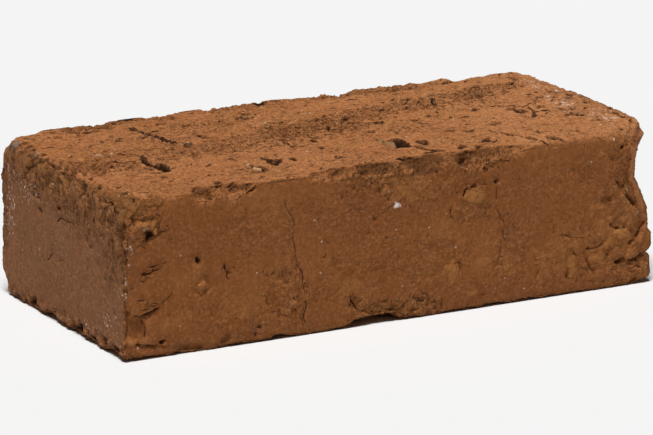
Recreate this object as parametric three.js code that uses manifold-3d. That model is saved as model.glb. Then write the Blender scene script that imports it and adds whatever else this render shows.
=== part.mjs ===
// A solid, rough-formed clay brick. One piece of fired clay, without holes through it or a frog.
// Units are millimetres, +Z is up. X runs along the length, Y across the width, and the
// origin is at the middle of the underside. -Y is the front stretcher, -X the left header.
import * as THREE from 'three';
import Module from 'manifold-3d';

// ---------------------------------------------------------------- driving dimensions
const LENGTH = 250;          // over the two headers
const WIDTH = 118;           // over the two stretchers
const HEIGHT = 68;           // bed to bed

const R_TOP_FRONT = 4.2;     // worn radii of the long edges
const R_TOP_BACK = 5.0;
const R_LOW_FRONT = 2.2;
const R_LOW_BACK = 2.6;
const R_TOP_LEFT = 9.0;      // edges along the width
const R_TOP_RIGHT = 8.0;
const R_LOW_LEFT = 2.6;
const R_LOW_RIGHT = 3.2;
const R_UP_NEAR = 3.0;       // upright edges: left front, left back, right front, right back
const R_UP_FAR = 6.0;
const R_UP_RIGHT = 5.0;
const R_UP_BACK = 6.0;
const R_CORNER_NEAR = 8.5;   // top corners are rounder than the edges that meet there
const R_CORNER_FAR = 15.0;
const R_CORNER_RIGHT = 8.0;
const R_CORNER_BACK = 11.0;

// The right front upright edge is pinched in below the top and notched near the foot:
// [height, how far it stands in from the end].
const PINCH = [
  [0, 2.6], [3, 1.3], [10, 1.0], [13.5, 3.4], [16.5, 0.9], [22, 0.4], [31, 1.2],
  [36, 3.4], [41, 6.4], [47, 8.2], [53, 8.4], [58, 7.2], [63, 6.2], [68, 6.6],
];
const PINCH_REACH_Y = 30;    // how far the pinch runs back along the right header
const PINCH_REACH_X = 26;    // and along the front stretcher

// Broken and worn hollows: centre, half sizes, depth and the way the clay is missing.
const HOLLOWS = [
  // near top corner, broken off in steps
  { at: [-123, -58, 62], size: [15, 9, 17], depth: 5.0, dir: [0.55, 0.75, -0.35] },
  { at: [-109, -59, 54], size: [9, 5, 7], depth: 2.8, dir: [0.1, 1, 0] },
  { at: [-125, -52, 60], size: [7, 9, 12], depth: 3.0, dir: [1, 0.3, -0.2] },
  // left header: worn top edge and foot
  { at: [-125, 20, 66], size: [9, 34, 11], depth: 2.6, dir: [0.8, 0, -0.6] },
  { at: [-125, -22, 64], size: [8, 13, 12], depth: 2.4, dir: [0.9, 0, -0.4] },
  { at: [-124, 30, 2], size: [8, 7, 6], depth: 4.0, dir: [0.8, 0, 0.6] },
  { at: [-124, -12, 3], size: [8, 13, 7], depth: 3.6, dir: [0.8, 0, 0.6] },
  { at: [-124, 52, 6], size: [8, 9, 12], depth: 3.4, dir: [0.8, -0.6, 0.1] },
  // foot of the near upright edge
  { at: [-119, -59, 17], size: [6, 5, 7], depth: 2.6, dir: [0.2, 1, 0] },
  { at: [-108, -59, 5], size: [14, 5, 4.5], depth: 2.0, dir: [0, 0.9, 0.4] },
  // front top edge
  { at: [-89, -58, 66], size: [9, 6, 6], depth: 3.0, dir: [0, 0.7, -0.7] },
  { at: [-71, -58, 65], size: [11, 6, 7], depth: 3.2, dir: [0, 0.7, -0.7] },
  { at: [-24, -58, 66], size: [11, 7, 6], depth: 2.4, dir: [0, 0.7, -0.7] },
  { at: [12, -58, 66], size: [12, 8, 8], depth: 3.4, dir: [0, 0.7, -0.7] },
  { at: [41, -58, 67], size: [11, 6, 5], depth: 2.2, dir: [0, 0.7, -0.7] },
  // front lower edge
  { at: [-58, -58, 1], size: [14, 6, 5], depth: 2.0, dir: [0, 0.5, 0.8] },
  { at: [-8, -58, 1], size: [13, 8, 5], depth: 3.6, dir: [0, 0.5, 0.85] },
  { at: [-18, -59, 11], size: [5, 4, 6], depth: 2.4, dir: [0, 1, 0] },
  { at: [60, -58, 1], size: [16, 6, 4], depth: 1.6, dir: [0, 0.5, 0.8] },
  // rugged right part of the front
  { at: [92, -59, 26], size: [16, 5, 13], depth: 1.5, dir: [0, 1, 0] },
  { at: [112, -59, 14], size: [12, 6, 5], depth: 2.6, dir: [-0.2, 1, 0] },
  { at: [108, -59, 40], size: [13, 6, 6], depth: 2.6, dir: [-0.3, 1, 0] },
  { at: [112, -58, 64], size: [13, 8, 8], depth: 2.6, dir: [-0.3, 0.7, -0.6] },
  // back top edge, ragged
  { at: [-106, 58, 67], size: [16, 9, 7], depth: 2.4, dir: [0, -0.7, -0.7] },
  { at: [-74, 58, 67], size: [11, 8, 7], depth: 3.4, dir: [0, -0.7, -0.7] },
  { at: [32, 58, 67], size: [14, 9, 7], depth: 3.6, dir: [0, -0.7, -0.7] },
  { at: [92, 58, 67], size: [11, 9, 7], depth: 3.0, dir: [0, -0.7, -0.7] },
  // back foot and right header
  { at: [-60, 58, 2], size: [20, 6, 6], depth: 2.6, dir: [0, -0.7, 0.7] },
  { at: [70, 58, 3], size: [15, 7, 7], depth: 3.2, dir: [0, -0.7, 0.7] },
  { at: [125, 22, 66], size: [9, 16, 9], depth: 2.4, dir: [-0.7, 0, -0.7] },
  { at: [125, 30, 2], size: [8, 12, 6], depth: 2.6, dir: [-0.7, 0, 0.7] },
  // the bed: torn hollows beside grit, and the long drag band
  { at: [18, -30, 68], size: [7, 9, 4], depth: 2.2, dir: [0, 0, -1] },
  { at: [-88, -13, 68], size: [5, 14, 4], depth: 1.8, dir: [0, 0, -1] },
];

// Deep open pits, cut with a turned ellipsoid: centre, half sizes, turn about Z in degrees.
const PITS = [
  { at: [-91, -59, 38.5], size: [1.6, 3.0, 2.2], turn: 0 },
  { at: [-41.5, -28.5, 68], size: [1.7, 4.4, 2.6], turn: -12 },
  { at: [26, -33, 68], size: [2.2, 3.4, 2.6], turn: -35 },
  { at: [-52, -36, 68], size: [2.6, 5.2, 2.4], turn: -25 },
  { at: [77, -52, 68], size: [1.9, 2.6, 2.6], turn: 0 },
  { at: [-19, 39, 68], size: [3.4, 2.6, 1.8], turn: 20 },
];

// ---------------------------------------------------------------- the worn block
const hx = LENGTH / 2, hy = WIDTH / 2, hz = HEIGHT / 2;

// Lattice stations along a side: fine by the edges, wider over the faces.
function stations(half, step) {
  const near = [0, 1.2, 2.8, 5.0, 8.2, 12.6];
  const inner = half - near[near.length - 1];
  const n = Math.max(2, Math.round((2 * inner) / step));
  const out = near.map((d) => -half + d);
  for (let i = 1; i < n; i += 1) out.push(-inner + (2 * inner * i) / n);
  for (let i = near.length - 1; i >= 0; i -= 1) out.push(half - near[i]);
  return out;
}

const EDGES = [
  // axis, sign of the other two coordinates, radius
  ['x', -1, 1, R_TOP_FRONT], ['x', 1, 1, R_TOP_BACK], ['x', -1, -1, R_LOW_FRONT], ['x', 1, -1, R_LOW_BACK],
  ['y', -1, 1, R_TOP_LEFT], ['y', 1, 1, R_TOP_RIGHT], ['y', -1, -1, R_LOW_LEFT], ['y', 1, -1, R_LOW_RIGHT],
  ['z', -1, -1, R_UP_NEAR], ['z', -1, 1, R_UP_FAR], ['z', 1, -1, R_UP_RIGHT], ['z', 1, 1, R_UP_BACK],
];
const CORNERS = [
  [-1, -1, 1, R_CORNER_NEAR], [-1, 1, 1, R_CORNER_FAR], [1, -1, 1, R_CORNER_RIGHT], [1, 1, 1, R_CORNER_BACK],
];

// Worn radius at a point of the block's surface: a blend of the nearest edges, swelling at the top corners.
function wornRadius(p) {
  let sum = 0, weight = 0;
  for (const [axis, a, b, r] of EDGES) {
    const u = axis === 'x' ? p.y - a * hy : p.x - a * hx;
    const v = axis === 'z' ? p.y - b * hy : p.z - b * hz;
    const w = 1 / (1 + (u * u + v * v) ** 2 / 40);
    sum += w * r;
    weight += w;
  }
  let r = sum / weight;
  for (const [a, b, c, rc] of CORNERS) {
    const d = Math.hypot(p.x - a * hx, p.y - b * hy, p.z - c * hz);
    const k = Math.exp(-((d / (1.3 * rc)) ** 2));
    r += (rc - r) * k;
  }
  return r;
}

function roundOff(p) {
  const r = wornRadius(p);
  const inner = new THREE.Vector3(
    THREE.MathUtils.clamp(p.x, -hx + r, hx - r),
    THREE.MathUtils.clamp(p.y, -hy + r, hy - r),
    THREE.MathUtils.clamp(p.z, -hz + r, hz - r),
  );
  const out = p.clone().sub(inner);
  return inner.add(out.normalize().multiplyScalar(r));
}

function pinchAt(z) {
  for (let i = 1; i < PINCH.length; i += 1) {
    if (z <= PINCH[i][0]) {
      const [z0, w0] = PINCH[i - 1], [z1, w1] = PINCH[i];
      const t = THREE.MathUtils.smoothstep(z, z0, z1);
      return w0 + (w1 - w0) * t;
    }
  }
  return PINCH[PINCH.length - 1][1];
}

// z is measured from the underside here
function wearAway(q) {
  const alongY = 1 - THREE.MathUtils.smoothstep(q.y, -hy, -hy + PINCH_REACH_Y);
  const alongX = THREE.MathUtils.smoothstep(q.x, hx - PINCH_REACH_X, hx);
  const p = q.clone();
  p.x -= pinchAt(q.z) * alongY * alongX;
  const move = new THREE.Vector3();
  for (const h of HOLLOWS) {
    const d2 = ((q.x - h.at[0]) / h.size[0]) ** 2 + ((q.y - h.at[1]) / h.size[1]) ** 2 + ((q.z - h.at[2]) / h.size[2]) ** 2;
    if (d2 < 1) {
      const k = h.depth * (1 - d2) ** 1.5;
      move.add(new THREE.Vector3(...h.dir).normalize().multiplyScalar(k));
    }
  }
  return p.add(move);
}

function wornBlock() {
  const sx = stations(hx, 6.2), sy = stations(hy, 6.8), sz = stations(hz, 6.2);
  const nx = sx.length - 1, ny = sy.length - 1, nz = sz.length - 1;
  const index = new Map(), positions = [], faces = [];
  const vertex = (i, j, k) => {
    const key = `${i},${j},${k}`;
    if (!index.has(key)) {
      const q = roundOff(new THREE.Vector3(sx[i], sy[j], sz[k]));
      q.z += hz;
      const p = wearAway(q);
      index.set(key, positions.length / 3);
      positions.push(
        THREE.MathUtils.clamp(p.x, -hx, hx),
        THREE.MathUtils.clamp(p.y, -hy, hy),
        THREE.MathUtils.clamp(p.z, 0, HEIGHT),
      );
    }
    return index.get(key);
  };
  const quad = (a, b, c, d, flip) => {
    if (flip) faces.push(a, b, c, a, c, d);
    else faces.push(a, b, d, b, c, d);
  };
  for (let i = 0; i < nx; i += 1) {
    for (let j = 0; j < ny; j += 1) {
      quad(vertex(i, j, nz), vertex(i + 1, j, nz), vertex(i + 1, j + 1, nz), vertex(i, j + 1, nz), (i + j) % 2);
      quad(vertex(i, j, 0), vertex(i, j + 1, 0), vertex(i + 1, j + 1, 0), vertex(i + 1, j, 0), (i + j) % 2);
    }
    for (let k = 0; k < nz; k += 1) {
      quad(vertex(i, 0, k), vertex(i + 1, 0, k), vertex(i + 1, 0, k + 1), vertex(i, 0, k + 1), (i + k) % 2);
      quad(vertex(i, ny, k), vertex(i, ny, k + 1), vertex(i + 1, ny, k + 1), vertex(i + 1, ny, k), (i + k) % 2);
    }
  }
  for (let j = 0; j < ny; j += 1) {
    for (let k = 0; k < nz; k += 1) {
      quad(vertex(0, j, k), vertex(0, j, k + 1), vertex(0, j + 1, k + 1), vertex(0, j + 1, k), (j + k) % 2);
      quad(vertex(nx, j, k), vertex(nx, j + 1, k), vertex(nx, j + 1, k + 1), vertex(nx, j, k + 1), (j + k) % 2);
    }
  }
  return { positions, faces };
}

// ---------------------------------------------------------------- joining and cutting
const wasm = await Module();
wasm.setup();

const solid = ({ positions, faces }) => new wasm.Manifold(new wasm.Mesh({
  numProp: 3,
  vertProperties: Float32Array.from(positions),
  triVerts: Uint32Array.from(faces),
}));

// A closed ellipsoid from a latitude and longitude ball.
function ellipsoid({ at, size, turn }) {
  const rings = 6, sectors = 12, positions = [], faces = [];
  positions.push(0, 0, 1);
  for (let i = 1; i < rings; i += 1) {
    for (let j = 0; j < sectors; j += 1) {
      const a = (Math.PI * i) / rings, b = (2 * Math.PI * j) / sectors;
      positions.push(Math.sin(a) * Math.cos(b), Math.sin(a) * Math.sin(b), Math.cos(a));
    }
  }
  positions.push(0, 0, -1);
  const last = positions.length / 3 - 1;
  const at2 = (i, j) => 1 + (i - 1) * sectors + (j % sectors);
  for (let j = 0; j < sectors; j += 1) {
    faces.push(0, at2(1, j), at2(1, j + 1));
    faces.push(last, at2(rings - 1, j + 1), at2(rings - 1, j));
    for (let i = 1; i < rings - 1; i += 1) {
      faces.push(at2(i, j), at2(i + 1, j), at2(i + 1, j + 1));
      faces.push(at2(i, j), at2(i + 1, j + 1), at2(i, j + 1));
    }
  }
  const m = new THREE.Matrix4()
    .makeTranslation(at[0], at[1], at[2])
    .multiply(new THREE.Matrix4().makeRotationZ(THREE.MathUtils.degToRad(turn)))
    .multiply(new THREE.Matrix4().makeScale(size[0], size[1], size[2]));
  const v = new THREE.Vector3();
  for (let i = 0; i < positions.length; i += 3) {
    v.set(positions[i], positions[i + 1], positions[i + 2]).applyMatrix4(m);
    positions[i] = v.x; positions[i + 1] = v.y; positions[i + 2] = v.z;
  }
  return { positions, faces };
}

let body = solid(wornBlock());
for (const pit of PITS) body = body.subtract(solid(ellipsoid(pit)));

// ---------------------------------------------------------------- large flat faces
// The lattice points inside a flat stretch carry no shape, so each is drawn into a neighbour
// wherever the triangles round it stay flat, the right way up and well shaped.
function mergeFlats(points, triangles) {
  const tris = triangles.map((t) => [...t]);
  const around = points.map(() => new Set());
  tris.forEach((t, n) => t.forEach((v) => around[v].add(n)));
  const normalOf = (a, b, c) => {
    const u = new THREE.Vector3().subVectors(points[b], points[a]);
    const v = new THREE.Vector3().subVectors(points[c], points[a]);
    return u.cross(v);
  };
  const onPlane = (v) => {
    const p = points[v];
    if (Math.abs(p.z) < 1e-4) return 'z0';
    if (Math.abs(p.z - HEIGHT) < 1e-4) return 'z1';
    if (Math.abs(p.y + hy) < 1e-4) return 'y0';
    if (Math.abs(p.y - hy) < 1e-4) return 'y1';
    if (Math.abs(p.x + hx) < 1e-4) return 'x0';
    if (Math.abs(p.x - hx) < 1e-4) return 'x1';
    return null;
  };
  const plane = points.map((_, v) => onPlane(v));
  const neighbours = (v) => {
    const out = new Set();
    for (const n of around[v]) for (const w of tris[n]) if (w !== v) out.add(w);
    return out;
  };
  for (let pass = 0; pass < 6; pass += 1) {
    let moved = 0;
    for (let v = 0; v < points.length; v += 1) {
      if (!plane[v] || around[v].size === 0) continue;
      const ring = neighbours(v);
      if ([...ring].some((w) => plane[w] !== plane[v])) continue;
      const flat = [...around[v]].map((n) => normalOf(...tris[n])).reduce((a, b) => a.add(b), new THREE.Vector3()).normalize();
      let best = null;
      for (const u of ring) {
        const shared = [...neighbours(u)].filter((w) => ring.has(w));
        if (shared.length !== 2) continue;
        let worst = Infinity;
        for (const n of around[v]) {
          if (tris[n].includes(u)) continue;
          const [a, b, c] = tris[n].map((w) => (w === v ? u : w));
          const m = normalOf(a, b, c);
          const longest = Math.max(points[a].distanceTo(points[b]), points[b].distanceTo(points[c]), points[c].distanceTo(points[a]));
          worst = Math.min(worst, m.dot(flat) / (longest * longest));
        }
        if (worst > 0.02 && (!best || worst > best.worst)) best = { u, worst };
      }
      if (!best) continue;
      for (const n of [...around[v]]) {
        if (tris[n].includes(best.u)) {
          for (const w of tris[n]) around[w].delete(n);
          tris[n] = null;
        } else {
          tris[n] = tris[n].map((w) => (w === v ? best.u : w));
          around[best.u].add(n);
        }
      }
      around[v].clear();
      moved += 1;
    }
    if (!moved) break;
  }
  return tris.filter((t) => t);
}

const cut = body.getMesh();
const points = [], triangles = [];
for (let i = 0; i < cut.vertProperties.length / cut.numProp; i += 1) {
  points.push(new THREE.Vector3(...cut.vertProperties.slice(cut.numProp * i, cut.numProp * i + 3)));
}
for (let i = 0; i < cut.triVerts.length; i += 3) triangles.push([...cut.triVerts.slice(i, i + 3)]);
const kept = mergeFlats(points, triangles);

const used = [...new Set(kept.flat())].sort((a, b) => a - b);
const renumber = new Map(used.map((v, i) => [v, i]));
const geometry = new THREE.BufferGeometry();
geometry.setAttribute('position', new THREE.Float32BufferAttribute(used.flatMap((v) => points[v].toArray()), 3));
geometry.setIndex(kept.flat().map((v) => renumber.get(v)));
geometry.computeVertexNormals();

// ---------------------------------------------------------------- the part
const clay = new THREE.MeshStandardMaterial({ color: new THREE.Color(0x8a5a38), roughness: 0.95, metalness: 0 });
const brick = new THREE.Mesh(geometry, clay);
brick.name = 'brick';

const part = new THREE.Group();
part.add(brick);

export default part;
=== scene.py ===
import math

import bpy
import numpy as np
from mathutils import Matrix, Vector


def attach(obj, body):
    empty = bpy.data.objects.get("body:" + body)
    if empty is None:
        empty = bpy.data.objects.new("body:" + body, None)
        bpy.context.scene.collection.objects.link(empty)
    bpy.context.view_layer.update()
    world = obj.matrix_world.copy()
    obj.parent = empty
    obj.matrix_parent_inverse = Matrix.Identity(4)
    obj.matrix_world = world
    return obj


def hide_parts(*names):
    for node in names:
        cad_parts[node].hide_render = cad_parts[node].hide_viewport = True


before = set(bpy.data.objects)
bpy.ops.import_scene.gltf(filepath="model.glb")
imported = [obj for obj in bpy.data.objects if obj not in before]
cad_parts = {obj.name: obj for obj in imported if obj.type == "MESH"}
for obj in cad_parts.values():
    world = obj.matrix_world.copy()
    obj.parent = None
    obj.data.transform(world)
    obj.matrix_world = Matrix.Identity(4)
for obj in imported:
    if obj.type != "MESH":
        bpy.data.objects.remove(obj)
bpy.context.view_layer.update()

# ------------------------------------------------------------------ sizes, in millimetres
HX, HY, HZ = 125.0, 59.0, 34.0  # half length, half width, half height
STEP = 0.52
TARGET_TRIS = 194000
SEED = 4117

# ------------------------------------------------------------------ numeric helpers


class Noise:
    """Gradient noise in space with a fixed seed; values run from about -1 to 1."""

    def __init__(self, seed):
        r = np.random.default_rng(seed)
        self.perm = np.concatenate([r.permutation(512)] * 2).astype(np.int32)
        g = r.normal(size=(512, 3))
        self.grad = (g / np.linalg.norm(g, axis=1, keepdims=True)).astype(np.float32)

    def __call__(self, p):
        p = np.asarray(p, np.float32)
        i = np.floor(p).astype(np.int32)
        f = p - i
        i &= 511
        u = f * f * f * (f * (f * 6 - 15) + 10)
        out = np.zeros(len(p), np.float32)
        for dx in (0, 1):
            px = self.perm[(i[:, 0] + dx) & 511]
            wx = u[:, 0] if dx else 1 - u[:, 0]
            for dy in (0, 1):
                py = self.perm[px + ((i[:, 1] + dy) & 511)]
                wy = u[:, 1] if dy else 1 - u[:, 1]
                for dz in (0, 1):
                    h = self.perm[py + ((i[:, 2] + dz) & 511)]
                    g = self.grad[h]
                    wz = u[:, 2] if dz else 1 - u[:, 2]
                    d = g[:, 0] * (f[:, 0] - dx) + g[:, 1] * (f[:, 1] - dy) + g[:, 2] * (f[:, 2] - dz)
                    out += wx * wy * wz * d
        return out * 1.6


def fbm(p, size, octaves=3, gain=0.5, seed=0, stretch=(1, 1, 1)):
    """Layered noise whose broadest lumps are about `size` across."""
    q = np.asarray(p, np.float32) / (np.asarray(stretch, np.float32) * size)
    total, amp, norm = 0.0, 1.0, 0.0
    for o in range(octaves):
        total = total + amp * Noise(SEED + seed * 31 + o)(q * (2.03 ** o) + 17.3 * o)
        norm += amp * amp
        amp *= gain
    return total * (2.6 / math.sqrt(norm))  # spread close to 1


def cells(p, size, seed=0, jitter=0.9):
    """Distance to the nearest scattered point, and that point's own random number. Both in cell units."""
    q = np.asarray(p, np.float32) / size
    i = np.floor(q).astype(np.int64)
    best = np.full(len(q), 9.0, np.float32)
    tag = np.zeros(len(q), np.float32)
    r = np.random.default_rng(SEED + 977 * seed)
    table = r.random((4096, 4)).astype(np.float32)
    for dx in (-1, 0, 1):
        for dy in (-1, 0, 1):
            for dz in (-1, 0, 1):
                c = i + np.array([dx, dy, dz])
                h = (c[:, 0] * 73856093 ^ c[:, 1] * 19349663 ^ c[:, 2] * 83492791) & 4095
                t = table[h]
                d = np.linalg.norm(c + 0.5 + (t[:, :3] - 0.5) * jitter - q, axis=1)
                near = d < best
                best = np.where(near, d, best)
                tag = np.where(near, t[:, 3], tag)
    return best.astype(np.float32), tag


def smooth(x, a, b):
    t = np.clip((x - a) / (b - a), 0, 1)
    return t * t * (3 - 2 * t)


def terrace(v, sharp=0.3):
    """Turns a smooth height into small steps with a steep riser between them."""
    f = v - np.floor(v)
    return np.floor(v) + smooth(f, 1 - sharp, 1.0) - v


def lerp_table(x, table):
    t = np.asarray(table, float)
    return np.interp(x, t[:, 0], t[:, 1])


# ------------------------------------------------------------------ the lattice over the block
def stations(half):
    n = int(round(2 * half / STEP))
    return np.linspace(-half, half, n + 1)


SX, SY, SZ = stations(HX), stations(HY), stations(HZ)
NX, NY, NZ = len(SX) - 1, len(SY) - 1, len(SZ) - 1


def code(i, j, k):
    return (i * (NY + 1) + j) * (NZ + 1) + k


def face_quads():
    """Quads of each side, turning outwards, as lattice codes."""
    out = {}
    i, j = np.meshgrid(np.arange(NX), np.arange(NY), indexing="ij")
    i, j = i.ravel(), j.ravel()
    out["top"] = np.stack([code(i, j, NZ), code(i + 1, j, NZ), code(i + 1, j + 1, NZ), code(i, j + 1, NZ)], 1)
    out["bottom"] = np.stack([code(i, j, 0), code(i, j + 1, 0), code(i + 1, j + 1, 0), code(i + 1, j, 0)], 1)
    i, k = np.meshgrid(np.arange(NX), np.arange(NZ), indexing="ij")
    i, k = i.ravel(), k.ravel()
    out["front"] = np.stack([code(i, 0, k), code(i + 1, 0, k), code(i + 1, 0, k + 1), code(i, 0, k + 1)], 1)
    out["back"] = np.stack([code(i, NY, k), code(i, NY, k + 1), code(i + 1, NY, k + 1), code(i + 1, NY, k)], 1)
    j, k = np.meshgrid(np.arange(NY), np.arange(NZ), indexing="ij")
    j, k = j.ravel(), k.ravel()
    out["left"] = np.stack([code(0, j, k), code(0, j, k + 1), code(0, j + 1, k + 1), code(0, j + 1, k)], 1)
    out["right"] = np.stack([code(NX, j, k), code(NX, j + 1, k), code(NX, j + 1, k + 1), code(NX, j, k + 1)], 1)
    return out


QUADS = face_quads()
SIDES = ("top", "bottom", "front", "back", "left", "right")
all_codes = np.concatenate([QUADS[s] for s in SIDES])
side_of_quad = np.concatenate([np.full(len(QUADS[s]), n) for n, s in enumerate(SIDES)])
uniq, inverse = np.unique(all_codes.ravel(), return_inverse=True)
quads = inverse.reshape(-1, 4)
ci = uniq // ((NY + 1) * (NZ + 1))
cj = (uniq // (NZ + 1)) % (NY + 1)
ck = uniq % (NZ + 1)
P0 = np.stack([SX[ci], SY[cj], SZ[ck]], 1)  # on the sharp box, z centred
N = len(P0)

# ------------------------------------------------------------------ worn edges
EDGE_R = [
    ("x", -1, 1, 2.0), ("x", 1, 1, 1.4), ("x", -1, -1, 1.1), ("x", 1, -1, 1.8),
    ("y", -1, 1, 3.2), ("y", 1, 1, 1.2), ("y", -1, -1, 1.3), ("y", 1, -1, 2.2),
    ("z", -1, -1, 2.6), ("z", -1, 1, 1.3), ("z", 1, -1, 2.0), ("z", 1, 1, 4.0),
]
CORNER_R = [(-1, -1, 1, 5.0), (-1, 1, 1, 8.0), (1, -1, 1, 5.0), (1, 1, 1, 4.5)]
NEAR_R = [(-125, 1.6), (-100, 1.2), (-92, 0.0), (-64, -0.5), (-40, -0.5), (-3, 0.2), (3, 0.4), (5, -0.3), (55, 0.0), (64, 1.0), (95, 1.6), (125, 2.0)]


def worn_radius(p):
    total, weight = np.zeros(len(p)), np.zeros(len(p))
    for ax, a, b, r in EDGE_R:
        u = p[:, 1] - a * HY if ax == "x" else p[:, 0] - a * HX
        v = p[:, 1] - b * HY if ax == "z" else p[:, 2] - b * HZ
        w = 1 / (1 + (u * u + v * v) ** 2 / 40)
        total += w * r
        weight += w
    r = total / weight
    for a, b, c, rc in CORNER_R:
        d = np.linalg.norm(p - np.array([a * HX, b * HY, c * HZ]), axis=1)
        r += (rc - r) * np.exp(-((d / (1.3 * rc)) ** 2))
    near = np.exp(-((p[:, 1] + HY) ** 2 + (p[:, 2] - HZ) ** 2) / 60)
    return r + lerp_table(p[:, 0], NEAR_R) * near


radius = worn_radius(P0) * (1 + 0.14 * fbm(P0, 19, 2, seed=3))
radius = np.clip(radius, 0.9, 16)[:, None]
half = np.array([HX, HY, HZ])
inner = np.clip(P0, -half + radius, half - radius)
away = P0 - inner
NRM = away / np.linalg.norm(away, axis=1, keepdims=True)
Q = inner + NRM * radius
Q[:, 2] += HZ  # z now runs from the underside
C = {  # coordinates of each side
    "top": (Q[:, 0], Q[:, 1]), "bottom": (Q[:, 0], Q[:, 1]),
    "front": (Q[:, 0], Q[:, 2]), "back": (Q[:, 0], Q[:, 2]),
    "left": (Q[:, 1], Q[:, 2]), "right": (Q[:, 1], Q[:, 2]),
}
AXIS = {"top": (2, 1), "bottom": (2, -1), "front": (1, -1), "back": (1, 1), "left": (0, -1), "right": (0, 1)}
W = {s: np.clip(NRM[:, a] * sg, 0, 1) ** 2 for s, (a, sg) in AXIS.items()}

# ------------------------------------------------------------------ relief of each side
H = {s: np.zeros(N, np.float32) for s in SIDES}  # out of the side, in mm
ROUGH = np.zeros(N, np.float32)  # extra torn grain
# one of these masks holds painted shade: darkening laid into pits, holes, gaps round grit, the feet of steps, grooves
# and broken walls, where shade falls
MASK = {m: np.zeros(N, np.float32) for m in ("ochre", "salt", "stain_and_shade", "stone", "open", "slate", "olive")}
CRK_S = np.full(N, 9.0, np.float32)  # signed distance from the nearest crack, in mm
CRK_W = np.zeros(N, np.float32)  # its strength
CRK_D = np.full(N, 9.0, np.float32)
PIT_S = np.full(N, -3.0, np.float32)  # how far inside a pit's rim, in mm; it sets the painted shade in pits and holes

WOB = 0.5 * fbm(Q, 3.2, 3, seed=11)  # breaks up the outlines of the listed features
WOB2 = 0.5 * fbm(Q, 1.6, 2, seed=12)
print("noise spread", float(WOB.std() * 2), float(WOB2.std() * 2))


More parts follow.
